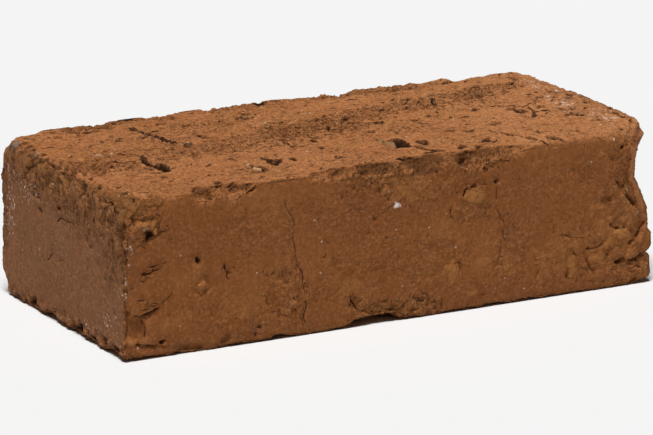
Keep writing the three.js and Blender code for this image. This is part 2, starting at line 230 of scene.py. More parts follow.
class Side:
    """Listed features of one side. a and b are the side's own coordinates in mm."""

    def __init__(self, name, deep=1.0, dark=1.0, line=1.0, grow=1.0, rib=1.0):
        self.s = name
        self.deep, self.dark, self.line, self.grow, self.rib = deep, dark, line, grow, rib
        self.idx = np.nonzero(W[name] > 0.02)[0]
        self.a = C[name][0][self.idx]
        self.b = C[name][1][self.idx]

    def near(self, a, b, r):
        m = (np.abs(self.a - a) < r) & (np.abs(self.b - b) < r)
        return self.idx[m], self.a[m] - a, self.b[m] - b

    def ell(self, a, b, ra, rb, turn=0.0, wobble=0.3, reach=1.35):
        idx, da, db = self.near(a, b, max(ra, rb) * reach + 1)
        t = math.radians(turn)
        u = (da * math.cos(t) + db * math.sin(t)) / ra
        v = (-da * math.sin(t) + db * math.cos(t)) / rb
        d = np.sqrt(u * u + v * v)
        d = d + wobble * (WOB[idx] + 0.8 * WOB2[idx]) * np.clip(d * 1.5, 0, 1)
        return idx, np.clip(d, 0, None), u, v

    def pit(self, a, b, ra, rb, depth, turn=0.0, wobble=0.42, steep=2.6, open_=0.6):
        """A bowl; steep over 2 gives a flat floor and sharp walls."""
        ra, rb = ra * self.grow, rb * self.grow
        idx, d, _, _ = self.ell(a, b, ra, rb, turn, wobble)
        k = np.clip(1 - d ** steep, 0, 1)
        H[self.s][idx] -= depth * self.deep * k
        # painted shade in the bowl: soft for broad or shallow bowls; small deep ones get a dark painted rim and a
        # near-black painted core in the finish
        shade = min(1.0, open_ * self.dark * (0.55 + 0.3 * depth))
        if min(ra, rb) > 3 or depth < 0.65 or (self.dark < 1.2 and steep < 3):  # broad or shallow: shaded softly
            MASK["open"][idx] = np.maximum(MASK["open"][idx], shade * np.clip(k * 1.8, 0, 1))
        else:
            MASK["open"][idx] = np.maximum(MASK["open"][idx], 0.5 * shade * np.clip(k * 1.8, 0, 1))
            PIT_S[idx] = np.maximum(PIT_S[idx], ((1 - d) * min(ra, rb) - 0.7 * (1 - shade) + 0.3 * (self.grow > 1)).astype(np.float32))

    def hole(self, pts, depth, wall=0.7, jitter=0.22, dark=1.0, lip=0.0):
        """A recess with an angular outline and painted shade on its floor. dark 0 leaves its floor the colour of the
        clay, apart from a light painted shade.
        """
        pts = ragged(list(pts) + [pts[0]], jitter, int(abs(pts[0][0] * 17 + pts[0][1] * 5)))
        idx, d, _, _ = self._line(pts, 3.5)
        a, b = C[self.s][0][idx], C[self.s][1][idx]
        odd = np.zeros(len(idx), bool)
        for (x0, y0), (x1, y1) in zip(pts[:-1], pts[1:]):
            if y0 == y1:
                continue
            odd ^= ((y0 > b) != (y1 > b)) & (a < (x1 - x0) * (b - y0) / (y1 - y0) + x0)
        sd = np.where(odd, d, -d) + 0.35 * WOB2[idx] + 0.45 * (self.grow > 1)
        H[self.s][idx] -= depth * smooth(sd, -0.15, wall)
        if lip:
            H[self.s][idx] += lip * np.exp(-(((sd + 0.7) / 0.6) ** 2))
        if dark > 0:
            PIT_S[idx] = np.maximum(PIT_S[idx], (sd - 0.1 - 1.2 * (1 - dark) + 0.55 * (self.grow > 1)).astype(np.float32))
        MASK["open"][idx] = np.maximum(MASK["open"][idx], (0.25 + 0.5 * dark) * smooth(sd, 0.0, 1.0))

    def lump(self, a, b, ra, rb, height, turn=0.0, wobble=0.3, steep=2.0):
        idx, d, _, _ = self.ell(a, b, ra, rb, turn, wobble)
        H[self.s][idx] += height * np.clip(1 - d ** steep, 0, 1)

    def stone(self, a, b, ra, rb, height, turn=0.0, moat=0.6, shade=1.0):
        """A grain of grit with a gap round it. shade under 0.5 is grey-brown, over is pale."""
        idx, d, _, _ = self.ell(a, b, ra, rb, turn, 0.30, reach=1.9)
        body = np.clip(1 - d ** 3, 0, 1) ** 0.5
        ring = np.clip(1 - ((d - 1.15) / 0.35) ** 2, 0, 1)
        H[self.s][idx] += 0.6 * height * body - moat * ring
        MASK["stone"][idx] = np.maximum(MASK["stone"][idx], shade * smooth(d, 1.05, 0.8))
        # painted shade in the gap round the grain
        MASK["open"][idx] = np.maximum(MASK["open"][idx], 0.7 * ring * min(1.0, moat))

    def tint(self, mask, a, b, ra, rb, amount, turn=0.0, wobble=0.6):
        idx, d, _, _ = self.ell(a, b, ra, rb, turn, wobble, reach=1.7)
        MASK[mask][idx] = np.maximum(MASK[mask][idx], amount * smooth(d, 1.15, 0.35))

    def rough(self, a, b, ra, rb, amount, turn=0.0, wobble=0.7):
        idx, d, _, _ = self.ell(a, b, ra, rb, turn, wobble, reach=1.8)
        ROUGH[idx] = np.maximum(ROUGH[idx], amount * smooth(d, 1.2, 0.6))

    def blister(self, a, b, r, ring, dome, turn=0.0, squash=1.0):
        idx, d, _, _ = self.ell(a, b, r, r * squash, turn, 0.3, reach=1.7)
        H[self.s][idx] += dome * np.clip(1 - (d / 0.75) ** 2, 0, 1) - ring * np.clip(1 - ((d - 0.95) / 0.3) ** 2, 0, 1)

    def _line(self, pts, reach):
        pts = np.asarray(pts, float)
        lo, hi = pts.min(0) - reach, pts.max(0) + reach
        m = (self.a > lo[0]) & (self.a < hi[0]) & (self.b > lo[1]) & (self.b < hi[1])
        idx, a, b = self.idx[m], self.a[m], self.b[m]
        seg = np.linalg.norm(np.diff(pts, axis=0), axis=1)
        run = np.concatenate([[0], np.cumsum(seg)])
        best = np.full(len(a), 1e9)
        sign = np.ones(len(a))
        along = np.zeros(len(a))
        for n in range(len(seg)):
            ax, ay = pts[n]
            dx, dy = (pts[n + 1] - pts[n]) / max(seg[n], 1e-6)
            t = np.clip((a - ax) * dx + (b - ay) * dy, 0, seg[n])
            ex, ey = a - ax - t * dx, b - ay - t * dy
            d = np.hypot(ex, ey)
            near = d < best
            best = np.where(near, d, best)
            sign = np.where(near, np.where(dx * (b - ay) - dy * (a - ax) >= 0, 1.0, -1.0), sign)
            along = np.where(near, (run[n] + t) / run[-1], along)
        return idx, best, sign, along

    def crack(self, pts, width=0.6, depth=1.2, strength=1.0, jitter=0.35, ends=0.12, lip=0.0, seed=None, steady=0.0):
        """A fissure: a narrow V in the mesh, and a finer line of painted shade in the finish."""
        pts = ragged(pts, jitter, seed if seed is not None else int(abs(pts[0][0] * 7 + pts[0][1] * 13)))
        idx, d, sg, t = self._line(pts, 4.0)
        taper = np.clip(np.minimum(t, 1 - t) / max(ends, 1e-3), 0, 1) ** 0.6 if ends else np.ones(len(t))
        uneven = np.clip(0.85 + 0.7 * WOB[idx], 0.25, 1.5)
        uneven = uneven + (1 - uneven) * steady
        wide = width * uneven * (0.5 + 0.5 * taper)
        k = np.clip(1 - d / np.maximum(wide, 0.05), 0, 1)
        H[self.s][idx] -= depth * taper * uneven * np.sqrt(k)
        if lip:
            H[self.s][idx] += lip * taper * np.exp(-(((d - wide * 1.6) / 0.9) ** 2))
        near = (d < CRK_D[idx]) & (d < 2.6)
        j = idx[near]
        CRK_D[j] = d[near]
        CRK_S[j] = (d * sg)[near]
        CRK_W[j] = (self.line * strength * taper * uneven * np.clip((2.6 - d) / 0.8, 0, 1))[near]

    def ledge(self, pts, drop, run, side=1, jitter=0.4, ends=0.15, edge=0.35, seed=None):
        """A torn step: the clay on one hand of the line lies lower by `drop`, easing back over `run`."""
        pts = ragged(pts, jitter, seed if seed is not None else int(abs(pts[0][0] * 5 + pts[0][1] * 3)))
        idx, d, sg, t = self._line(pts, run * 2.6 + 2)
        taper = np.clip(np.minimum(t, 1 - t) / max(ends, 1e-3), 0, 1)
        s = d * sg * side
        low = smooth(s, -edge, edge) * np.exp(-np.clip(s, 0, None) / run)
        end_fade = np.exp(-((d / (run * 1.5)) ** 2))
        H[self.s][idx] -= drop * taper * low * end_fade
        # painted shade along the foot of the step
        MASK["open"][idx] = np.maximum(MASK["open"][idx], 0.5 * taper * np.exp(-((s - 0.3) / 0.7) ** 2))

    def ridge(self, pts, height, width, jitter=0.3, ends=0.2, seed=None, shade=0.0):
        """A rib along a line, or a rounded groove when the height is negative."""
        pts = ragged(pts, jitter, seed if seed is not None else int(abs(pts[0][0] * 11 + pts[0][1])))
        idx, d, _, t = self._line(pts, width * 3)
        taper = np.clip(np.minimum(t, 1 - t) / max(ends, 1e-3), 0, 1)
        k = taper * np.exp(-((d / width) ** 2))
        H[self.s][idx] += self.rib * height * k
        if shade:
            MASK["open"][idx] = np.maximum(MASK["open"][idx], shade * k)


def ragged(pts, amount, seed):
    """The same line with smaller random bends between its points."""
    pts = np.asarray(pts, float)
    if amount <= 0:
        return pts
    r = np.random.default_rng(SEED + 7919 + seed)
    out = [pts[0]]
    for a, b in zip(pts[:-1], pts[1:]):
        length = np.linalg.norm(b - a)
        n = max(1, int(length / 1.3))
        side = np.array([-(b - a)[1], (b - a)[0]]) / max(length, 1e-6)
        for k in range(1, n):
            out.append(a + (b - a) * k / n + side * r.normal(0, amount))
        out.append(b)
    return np.asarray(out)


# the bed's pits and cracks get wider and darker painted shade than those of the sides
top, bottom, front = Side("top", 1.4, 1.6, 3.3, 1.15), Side("bottom", 1.0, 1.0, 1.6), Side("front")
back, left, right = Side("back"), Side("left", rib=1.7), Side("right")

# ---- upper bed: deep pits, gashes and grit
top.crack([(-70.8, 45.6), (-70.1, 38.5), (-68.6, 31.8), (-67.7, 26.3), (-66.7, 21.4), (-65.5, 16.6), (-64.3, 12.3)], 1.1, 2.0, 1.75, lip=0.15, steady=0.7, ends=0.06)
top.ledge([(-70.8, 45.6), (-70.1, 38.5), (-68.6, 31.8), (-67.7, 26.3), (-66.7, 21.4), (-65.5, 16.6)], 0.4, 3.0, side=1, jitter=0.2)
top.pit(-71.2, 40.5, 0.9, 2.2, 1.2)
top.pit(-66.4, 23, 0.8, 2.2, 1.2)
top.pit(-60.6, 9.3, 2.0, 2.6, 1.6, turn=-30)
top.stone(-60.0, 12.4, 1.2, 2.2, 0.5, turn=-25, shade=0.8)
top.pit(-50.4, 16.6, 1.5, 3.6, 1.6, turn=12)
top.pit(-83.6, 27.5, 1.5, 1.4, 1.0)
top.pit(-72, 28.6, 2.2, 1.7, 0.9)
top.pit(-113, 31.5, 1.4, 1.6, 1.0)
top.lump(-112, 28.6, 2.0, 1.3, 0.5, turn=30)
top.pit(-120.4, 42, 1.2, 2.2, 1.1)
top.pit(-121, 32.5, 1.0, 2.2, 1.1)
top.pit(-104.5, 44.5, 2.4, 1.4, 0.7, turn=40)
top.pit(-99, 26.5, 1.3, 1.0, 0.6)
top.pit(-92.4, -17.8, 1.3, 1.8, 1.2)
top.crack([(-87, -24), (-85, -21.5), (-81.5, -19.8), (-78, -18.8), (-73, -18.2)], 0.8, 1.3, 0.8, steady=0.4)
top.pit(-92.5, -24, 2.2, 0.9, 0.9, turn=15)
top.ledge([(-85.6, 1), (-88.8, -5), (-90, -13), (-90.5, -19)], 0.9, 2.4, side=1)
top.pit(-99.5, -30.2, 1.3, 1.0, 0.8)
top.pit(-93.4, -31.5, 1.0, 2.0, 0.9, turn=15)
top.pit(-74.5, -38, 1.3, 1.0, 0.8)
top.pit(-77, -48.5, 1.6, 2.0, 0.9)
top.crack([(-40, -26.5), (-38.2, -27.6)], 0.8, 1.0, 0.8)
top.pit(-34, -32.2, 1.2, 1.8, 0.9)
top.stone(-52.9, -36.5, 1.7, 3.6, 0.6, turn=-14, moat=1.3, shade=0.95)
top.stone(-53.4, -30.0, 0.9, 1.8, 0.4, turn=-30, moat=0.5, shade=0.8)
top.pit(-15.4, -38.5, 1.6, 2.2, 1.4)
top.pit(-19.2, -42, 2.6, 1.2, 1.0)
top.pit(-15, -21.5, 1.1, 2.4, 1.0)
top.pit(-12.3, -9.3, 1.8, 1.4, 1.1)
top.crack([(-23.4, 0), (-23.4, -6), (-23.6, -11)], 0.7, 0.8, 0.7)
top.pit(-23.6, -12.5, 1.2, 1.1, 0.9)
top.pit(-10, 24, 1.4, 1.4, 1.0)
top.stone(-17.2, 24.5, 0.8, 2.8, 0.4, turn=-8, moat=0.4, shade=0.9)
top.pit(-22.4, 39.2, 2.2, 1.3, 1.3, turn=20)
top.pit(-17.2, 42.8, 2.2, 1.3, 1.3)
top.pit(-19.4, 37.2, 2.6, 1.2, 1.0)
top.stone(-19.5, 40.4, 2.0, 1.4, 0.3, shade=0.35, moat=0.2)
top.pit(-65, 57, 2.2, 2.4, 1.6)
top.pit(-4, 56, 3.0, 2.6, 1.2, turn=30)
top.pit(-53, 30, 1.2, 1.0, 0.5)
top.crack([(-62, 22), (-57, 20), (-52, 21)], 0.5, 0.3, 0.3)
# big stone beside a deep hollow, with its gully
top.stone(12.2, -22.8, 1.5, 3.2, 0.5, turn=-8, moat=0.5, shade=0.42)
top.stone(13.7, -28.0, 2.1, 3.6, 0.6, turn=-24, moat=0.7, shade=0.40)
top.stone(12.6, -32.6, 1.5, 2.6, 0.4, turn=-6, moat=0.6, shade=0.44)
top.stone(15.6, -31.8, 0.9, 1.6, 0.3, turn=-30, moat=0.3, shade=0.5)
top.crack([(15, -36.4), (18.4, -36.6), (20.2, -39), (21.4, -43), (24, -46.8), (26.8, -50)], 1.1, 1.8, 1.5, jitter=0.2, ends=0.05, steady=0.6)
top.pit(21.8, -40, 1.3, 2.6, 1.3)
top.pit(25.2, -48.4, 2.6, 1.4, 1.2, turn=-15)
top.pit(19.4, -27.2, 1.4, 2.2, 1.2, turn=-30)
top.pit(12.4, -21, 1.1, 1.4, 0.9)
top.stone(24.6, -23.2, 0.7, 1.0, 0.3, shade=1.0, moat=0.2)
top.pit(37.6, -46.8, 1.7, 2.2, 1.2, turn=-40)
top.stone(38.6, -46.2, 0.5, 1.4, 0.3, turn=-40, shade=0.8, moat=0.2)
top.pit(45, -50, 1.8, 2.6, 1.2, turn=-30)
top.pit(52, -43, 1.7, 3.2, 1.2, turn=-18)
top.pit(46, -21.5, 1.9, 1.4, 0.9)
top.pit(51, -26, 2.0, 2.0, 0.9)
top.pit(12.8, 4.3, 1.8, 1.6, 1.2)
top.pit(2.2, 7, 2.0, 1.4, 1.0)
top.pit(26.4, 4.8, 2.2, 1.2, 0.9)
top.pit(41.7, 1.2, 1.0, 2.0, 1.0, turn=-25)
top.pit(50.2, 3.3, 1.3, 1.6, 1.4)
top.pit(57.6, -2.6, 1.0, 1.4, 0.9, turn=-30)
top.stone(57.2, -4.6, 0.6, 2.2, 0.3, turn=-30, moat=0.3, shade=0.95)
top.pit(25, -12, 1.4, 2.2, 0.7)
top.pit(16.5, -7.8, 1.2, 1.8, 0.7)
top.pit(31, 17.6, 1.4, 1.2, 0.9)
top.pit(17.6, 17.4, 1.6, 1.1, 0.9)
top.pit(37.4, 24.2, 1.5, 1.0, 0.9)
top.pit(51.5, 28.2, 1.4, 1.3, 1.0)
top.pit(55, 32, 1.0, 1.6, 0.9)
top.crack([(-1, 8), (4, 5.5), (9, 3)], 0.7, 0.7, 0.5)
# right part of the bed
top.crack([(60.4, -30), (62, -35), (64.5, -39.5), (67.5, -43.5), (69.6, -49), (71.6, -54), (72.8, -60)], 1.0, 1.5, 1.0, lip=0.2)
top.pit(69.4, -49.5, 1.6, 4.2, 0.9, turn=16)
top.pit(63.4, -37.6, 1.3, 2.6, 0.8, turn=20)
top.pit(68.4, -21, 2.3, 1.8, 1.2, turn=-15)
top.pit(65.2, -20.6, 1.2, 1.1, 0.8)
top.pit(67.6, -5.3, 1.4, 1.3, 1.2)
top.pit(72.6, 4.2, 1.6, 2.2, 1.2, turn=-50)
top.pit(70, 16, 1.2, 2.0, 1.2)
top.pit(75.5, 15.6, 1.2, 1.1, 0.9)
top.pit(62, 21.4, 1.6, 3.2, 1.1, turn=-10)
top.crack([(62.5, 21), (64, 26), (66, 30)], 0.7, 0.8, 0.7)
top.pit(73.2, 21.6, 1.6, 1.2, 0.9)
top.pit(77.6, -40.6, 1.8, 3.2, 1.5, turn=-14)
top.pit(76.6, -35, 1.4, 1.4, 1.0)
top.pit(80.2, -56, 1.2, 1.5, 0.9)
top.pit(88.0, -3.2, 3.0, 1.8, 1.6, turn=-12)
top.pit(88.4, -7.4, 2.4, 2.4, 1.7)
top.pit(84, -3, 1.2, 0.9, 0.8)
top.pit(85.8, -15.6, 1.3, 2.3, 1.6, turn=14)
top.pit(88.2, -18.4, 2.0, 1.2, 1.3, turn=20)
top.crack([(95.6, -2), (94.6, -7), (92.8, -12), (90.5, -16), (88.4, -18.2)], 0.6, 0.8, 0.9, jitter=0.2)
top.crack([(88.4, -18.4), (93, -17.4), (100, -13)], 0.5, 0.5, 0.6)
top.pit(92.6, -47, 1.2, 2.4, 1.2, turn=-8)
top.crack([(93, -48.5), (94.4, -52), (95.8, -55)], 0.8, 0.9, 0.8)
top.pit(91.4, -32.5, 1.0, 1.2, 0.8)
top.pit(100.6, -5, 2.4, 1.5, 1.2, turn=10)
top.pit(103.4, 4.2, 2.0, 1.3, 1.2, turn=30)
top.crack([(92, -1), (97, 1), (101, 3.6)], 0.5, 0.6, 0.6)
top.pit(107.4, 9.2, 1.7, 2.0, 1.5)
top.pit(111, 16, 2.0, 1.2, 0.9)
top.pit(116.6, 14.6, 1.4, 2.6, 1.3, turn=16)
top.stone(106.4, -14.8, 0.8, 4.4, 0.5, turn=-34, moat=0.5, shade=0.97)
top.pit(106.6, -11.8, 2.0, 1.6, 1.4)
top.pit(109.4, -14.2, 2.6, 1.3, 1.2, turn=20)
top.pit(107.4, -22.4, 1.9, 3.4, 1.7, turn=12)
top.pit(109.2, -25.6, 1.2, 1.5, 1.1)
top.pit(109.8, -35.4, 2.0, 1.4, 1.4)
top.pit(98.4, -38.2, 1.0, 1.0, 0.8)
top.pit(112.8, -51.6, 1.3, 1.8, 1.1)
top.pit(114.4, 44, 1.4, 3.0, 1.8, turn=-6)
top.pit(97.4, 49.5, 1.2, 2.4, 1.2, turn=-30)
top.pit(87, 51, 2.6, 2.2, 2.0)
top.pit(86, 30, 1.6, 1.2, 0.8)
top.stone(87, 27.2, 3.6, 1.5, 0.5, turn=14, moat=0.4, shade=0.25)
top.pit(78.6, 31.6, 1.8, 1.2, 1.0)
top.pit(92, 35.5, 1.2, 1.4, 0.8)
top.pit(98, 36.4, 1.5, 1.3, 0.9)
top.pit(120.2, 5.6, 1.5, 2.0, 1.7)
top.pit(117.4, 1.2, 1.6, 1.7, 1.6)
top.pit(120.4, -8.8, 2.0, 1.6, 1.4)
top.pit(123.4, -23, 1.2, 2.4, 1.2)
top.pit(121, -31, 1.6, 2.0, 1.2)
top.pit(121, -37, 1.0, 2.4, 1.4)
top.pit(121, -44, 1.0, 1.8, 1.0)
top.hole([(-86.0, 2.2), (-87.6, -1), (-89.2, -4), (-90.6, -8), (-90.2, -12), (-90.6, -16), (-89.4, -20), (-88.6, -25.6), (-86.4, -25.2), (-85.6, -21.4),
          (-84.2, -18), (-84.6, -12), (-87.2, -9.6), (-88.0, -6), (-86.6, -2)], 3.4, wall=1.0, lip=0.2)
top.hole([(-43.4, -23.4), (-41.2, -25.6), (-39.6, -28.4), (-38.9, -31.2), (-41.2, -33.8), (-43.6, -35.4), (-44.0, -31.4), (-43.2, -27.4)], 3.8, wall=0.8)
top.hole([(-52.2, -31.2), (-50.2, -33.6), (-49, -37), (-49.6, -40), (-51.4, -38.6), (-51.8, -35)], 2.4, wall=0.8)
top.hole([(-56.2, -40.2), (-53.4, -40.6), (-50.8, -42.2), (-53, -42.9), (-56, -42.0)], 1.8, wall=0.6)
top.hole([(13.4, -24.4), (17.4, -23.6), (20.2, -26.2), (19.6, -30.4), (18.6, -34.6), (16.8, -38.6), (13.6, -38.4), (11.8, -36.6), (14.6, -34.2), (15.4, -30)], 3.8, wall=1.1, lip=0.15)
top.hole([(24.2, -33.2), (26, -30.2), (28.6, -31.4), (28.4, -34.8), (26.4, -36.6), (24.9, -35.4)], 3.0, wall=0.9)
top.hole([(76, -50.2), (78.4, -48.8), (80.2, -51.2), (79.6, -54), (77.2, -54.6), (75.9, -52.8)], 3.2, wall=0.9)
top.hole([(85.4, -1.6), (88.6, -1.2), (91.2, -3.4), (89.6, -5.4), (91.0, -8), (88.8, -9.8), (86.4, -8.2), (87, -5.2), (85, -3.8)], 2.2, wall=0.9, jitter=0.4)
top.hole([(107, -19.6), (109, -20.6), (109.4, -24), (108.6, -26.4), (106.6, -24.6), (105.9, -21.8)], 2.0, wall=0.9, jitter=0.35)
# the coarse band that was torn along the bed
for a, b, ra, rb, am, tn in ((-112, -6, 16, 8, 0.9, -4), (-92, 3, 14, 10, 0.45, 6), (-70, -4, 14, 6, 0.5, 2),
                             (-42, 2, 18, 9, 0.7, 8), (-14, 8, 16, 11, 1.0, 10), (6, 10, 14, 10, 0.9, 8),
                             (30, 19, 16, 8, 0.85, 12), (56, 24, 14, 8, 0.8, 10), (82, 29, 14, 7, 0.9, 8),
                             (104, 33, 10, 6, 0.7, 6), (-60, 33, 30, 12, 0.25, 0), (118, 0, 7, 26, 0.22, 0),
                             (0, 56, 70, 5, 0.5, 0), (-88, 55, 16, 5, 0.8, 0), (45, 54, 34, 5, 0.7, 0)):
    top.rough(a, b, ra, rb, am, tn)
_r = np.random.default_rng(SEED + 9)
for b in np.arange(-34, 46, 2.3):
    a = -119.6 + _r.uniform(-1.3, 1.5)
    top.lump(a, b, _r.uniform(0.8, 1.7), _r.uniform(0.8, 1.5), _r.uniform(0.35, 0.8), turn=_r.uniform(-40, 40), wobble=0.5)
    if _r.random() < 0.45:
        top.pit(a - _r.uniform(1.0, 2.6), b + _r.uniform(-1, 1), _r.uniform(0.7, 1.3), _r.uniform(0.6, 1.4), 0.9, wobble=0.4)
top.ledge([(-126, -5), (-118, -7), (-110, -8.5), (-104, -11.5)], 1.0, 4.5, side=1)
top.ledge([(-60, -9), (-50, -7), (-40, -4), (-28, 2), (-16, 6)], 0.5, 4, side=-1)
top.ledge([(36, 12), (48, 17), (58, 19), (70, 23), (84, 23.5), (92, 27)], 0.8, 6, side=-1)
top.ledge([(52, 29), (64, 30.5), (78, 33), (90, 32), (110, 35)], 0.5, 5, side=1)
top.ledge([(-96, 51), (-90, 49), (-84, 48.4), (-77, 49.5)], 1.3, 3.5, side=-1)
top.ledge([(42, 52.6), (50, 51.5), (60, 50.6), (72, 50.6), (80, 52)], 1.1, 3.5, side=-1)
top.ledge([(15, 54.5), (19, 53), (23, 52.6), (27, 51)], 0.9, 3, side=-1)
for a, b, r in ((6.6, 39, 1.5), (6.2, 33, 2.2), (2, 35, 1.0), (-3.4, -17.6, 0.7), (112.6, 8.6, 2.2), (112.6, -7, 2.6), (106.4, 0.5, 1.2),
                (-101.5, 8.5, 1.8), (-103, 12.6, 1.6), (116.8, 27.4, 1.4), (118.4, 33.4, 1.2), (119.4, 16, 1.4), (116.6, 21.2, 1.0),
                (117.4, -21, 1.5), (115, -25.6, 1.0), (112.6, -32, 1.2), (116.4, -38, 2.4), (113, -38.5, 1.2), (108.4, -46, 1.2), (111.5, -46.5, 0.9)):
    top.tint("salt", a, b, r, r * 0.7, 0.7, wobble=1.1)
top.tint("salt", 112, -2, 9, 16, 0.40)
top.tint("salt", 114, -32, 10, 18, 0.44)
top.tint("salt", 116, 28, 8, 18, 0.38)
top.tint("salt", -103, 12, 9, 7, 0.16)
top.tint("salt", 42, -34, 12, 8, 0.16)

# ---- front stretcher
front.crack([(-51.3, 60), (-51, 57), (-50, 54.5), (-47.7, 51), (-47, 48), (-47, 44), (-48, 41.5), (-47, 39.5), (-46.5, 35), (-45.8, 32),
             (-44.8, 29.5), (-43.5, 27), (-43.2, 22), (-42.3, 19), (-42, 16), (-41.6, 12.5), (-42.4, 10), (-43, 7.5), (-42, 5.5), (-40.5, 3), (-39.3, 0)],
            0.42, 0.5, 0.66, jitter=0.16, ends=0.08)
front.crack([(48, 54), (48, 51.5), (47.7, 49), (47.5, 45), (47.8, 42), (48.5, 40.5), (49.5, 39.3), (49.3, 37.5), (50.8, 37), (51.6, 35), (51.8, 33.5),
             (51, 31.5), (51, 29), (52.2, 27)], 0.40, 0.45, 0.36, jitter=0.2, ends=0.1)
front.crack([(50.8, 28.5), (49.8, 24), (49, 20), (48.5, 16), (48.3, 12), (49, 10), (48.3, 6), (48.4, 2)], 0.35, 0.3, 0.24, jitter=0.2, ends=0.1)
front.pit(47.7, 54.3, 1.0, 0.9, 1.8, steep=3)
front.pit(-91.0, 38.7, 0.9, 1.9, 2.6, turn=18, steep=4, wobble=0.12, open_=1.0)
front.hole([(-68.6, 63.6), (-66.8, 63.8), (-64.2, 65.6), (-64.4, 66.8), (-66.6, 66.4), (-68.4, 64.8)], 3.0, wall=0.7)
front.pit(-84.2, 66.3, 1.2, 1.5, 1.5, steep=3)
front.pit(-96, 68.6, 1.6, 0.6, 1.0)
front.pit(-115.6, 36, 1.4, 1.0, 1.0, turn=-5)
front.pit(-113, 35.8, 3.0, 0.9, 0.6)
front.crack([(-116, 35.6), (-112.5, 36), (-109, 37), (-105, 39.4)], 0.5, 0.45, 0.6, jitter=0.15)
front.crack([(-116.6, 38.4), (-113, 38.6), (-110, 38.8), (-107.6, 39.6), (-104.4, 40)], 0.45, 0.4, 0.6, jitter=0.15)
front.pit(-113.7, 34.2, 0.8, 0.6, 0.7)
front.crack([(-118, 33.6), (-115.5, 32.6), (-113.6, 33)], 0.4, 0.3, 0.5)
front.pit(-120.6, 31, 1.0, 0.7, 0.6)
front.blister(-88.7, 27.5, 3.3, 0.6, 0.6, squash=1.05)
front.pit(-87.6, 27.2, 0.6, 0.9, 0.7)
front.pit(-88.3, 25.4, 0.8, 0.7, 0.7)
front.pit(-90.8, 26, 0.6, 1.0, 0.5)
front.pit(-78.8, 34, 1.0, 1.3, 0.9)
front.pit(-77, 31.4, 0.9, 1.0, 0.9)
front.crack([(-79.6, 35.4), (-77.6, 32), (-77, 28.4)], 0.45, 0.5, 0.7)
front.crack([(-77.4, 32.4), (-75, 34), (-74.2, 32)], 0.35, 0.4, 0.4)
front.ledge([(-121, 20.3), (-119, 19.3), (-117, 18.4), (-115, 19.2), (-112, 19.8), (-108.4, 21.2)], 1.1, 3.6, side=-1, jitter=0.2)
front.crack([(-119.4, 18.9), (-117, 18.2), (-115, 19), (-112, 19.4), (-108.4, 20.9)], 0.6, 0.9, 1.0, jitter=0.15)
front.crack([(-107.4, 22.3), (-104.6, 24.4), (-102.4, 26.4)], 0.35, 0.35, 0.7, jitter=0.1)
front.crack([(-119.4, 25.4), (-116.6, 25), (-114, 25.1)], 0.35, 0.3, 0.5)
front.crack([(-115, 22.6), (-112, 23.2), (-108.6, 22.6)], 0.35, 0.35, 0.5)
front.ledge([(-116.4, 18.2), (-115.2, 16), (-114.7, 12.5), (-114.4, 9)], 0.9, 2.2, side=-1, jitter=0.2)
front.ledge([(-123, 9.6), (-119, 9.2), (-114.5, 8.6)], 0.6, 1.6, side=1, jitter=0.2)
front.hole([(-127, 20.8), (-122.4, 19.8), (-119.2, 17.8), (-116.2, 17.8), (-114.9, 15.4), (-114.6, 12), (-114.9, 9), (-117.6, 7.6), (-121, 8.0), (-127, 7.4)],
           1.3, wall=1.9, dark=0.0, jitter=0.8)
front.crack([(-116.6, 17.0), (-115.2, 14.8), (-114.8, 11.4), (-115.6, 8.8)], 0.8, 0.5, 0.5, jitter=0.3)
front.hole([(-101.6, 0.4), (-100.4, 2.6), (-97, 3.7), (-93, 3.9), (-89, 3.2), (-86.2, 1.4), (-86, -2), (-101, -2)], 0.8, wall=1.4, dark=0.0, jitter=0.6)
front.hole([(-81.4, 1.0), (-80.4, 4.2), (-78, 5.0), (-76.4, 3.2), (-77, 0.8)], 0.5, wall=0.5, dark=0.0)
front.pit(-123, 20.6, 1.2, 1.6, 1.5)
front.crack([(-120, 6.8), (-116, 6.2), (-112, 5.2), (-108.5, 5.6)], 0.9, 1.2, 0.9, jitter=0.15)
front.pit(-107, 6.3, 1.4, 1.0, 1.9, turn=25, steep=3)
front.ledge([(-122, 6.6), (-114, 5.4), (-108, 5.2), (-103, 3.6)], 0.9, 3.5, side=-1)
front.ledge([(-101, 2.4), (-98, 3.6), (-93, 3.9), (-87, 2.6)], 0.8, 3, side=-1, jitter=0.2)
front.pit(-79, 2.6, 3.0, 2.6, 0.7)
front.pit(-63, 6.3, 0.9, 0.8, 1.2)
front.pit(-65, 2.9, 0.6, 1.3, 1.0)
front.rough(-50.5, 18, 8, 10, 0.55)
front.blister(-47, 14, 2.6, 0.4, 0.6)
front.pit(-53.5, 25.6, 1.6, 0.9, 0.5, turn=15)
front.pit(-44.3, 18, 0.9, 1.4, 0.7)
front.pit(-54, 14.2, 2.2, 0.6, 0.4)
front.blister(-36.7, 15, 1.4, 0.4, 0.3)
front.pit(-36.3, 18.8, 0.6, 0.5, 0.5)
front.pit(-19.4, 10.6, 2.7, 3.6, 1.4, turn=18, steep=2.6, wobble=0.4, open_=0.4)
front.lump(-18.6, 10.4, 0.9, 1.6, 0.9)
front.lump(-20.4, 12.2, 0.8, 0.9, 0.7)
front.crack([(-21, 13), (-19, 9.6), (-17.4, 7.2)], 0.5, 0.8, 0.9)
front.rough(-8, 6, 11, 4.2, 0.55)
front.ledge([(-17, 4.6), (-14.6, 7.0), (-10, 8.2), (-5, 7.6), (0, 7.2), (2.5, 4.5)], 1.1, 4.5, side=-1, jitter=0.6)
front.pit(-6, 3.0, 9, 2.8, 1.0, steep=2, open_=0.2)
front.tint("ochre", -7, 6, 10, 4, 0.6)
front.pit(-4.8, 9.2, 1.0, 0.7, 0.8)
front.ledge([(-12, 17), (-8, 17.6), (-4.4, 19.2)], 0.4, 2.2, side=-1)
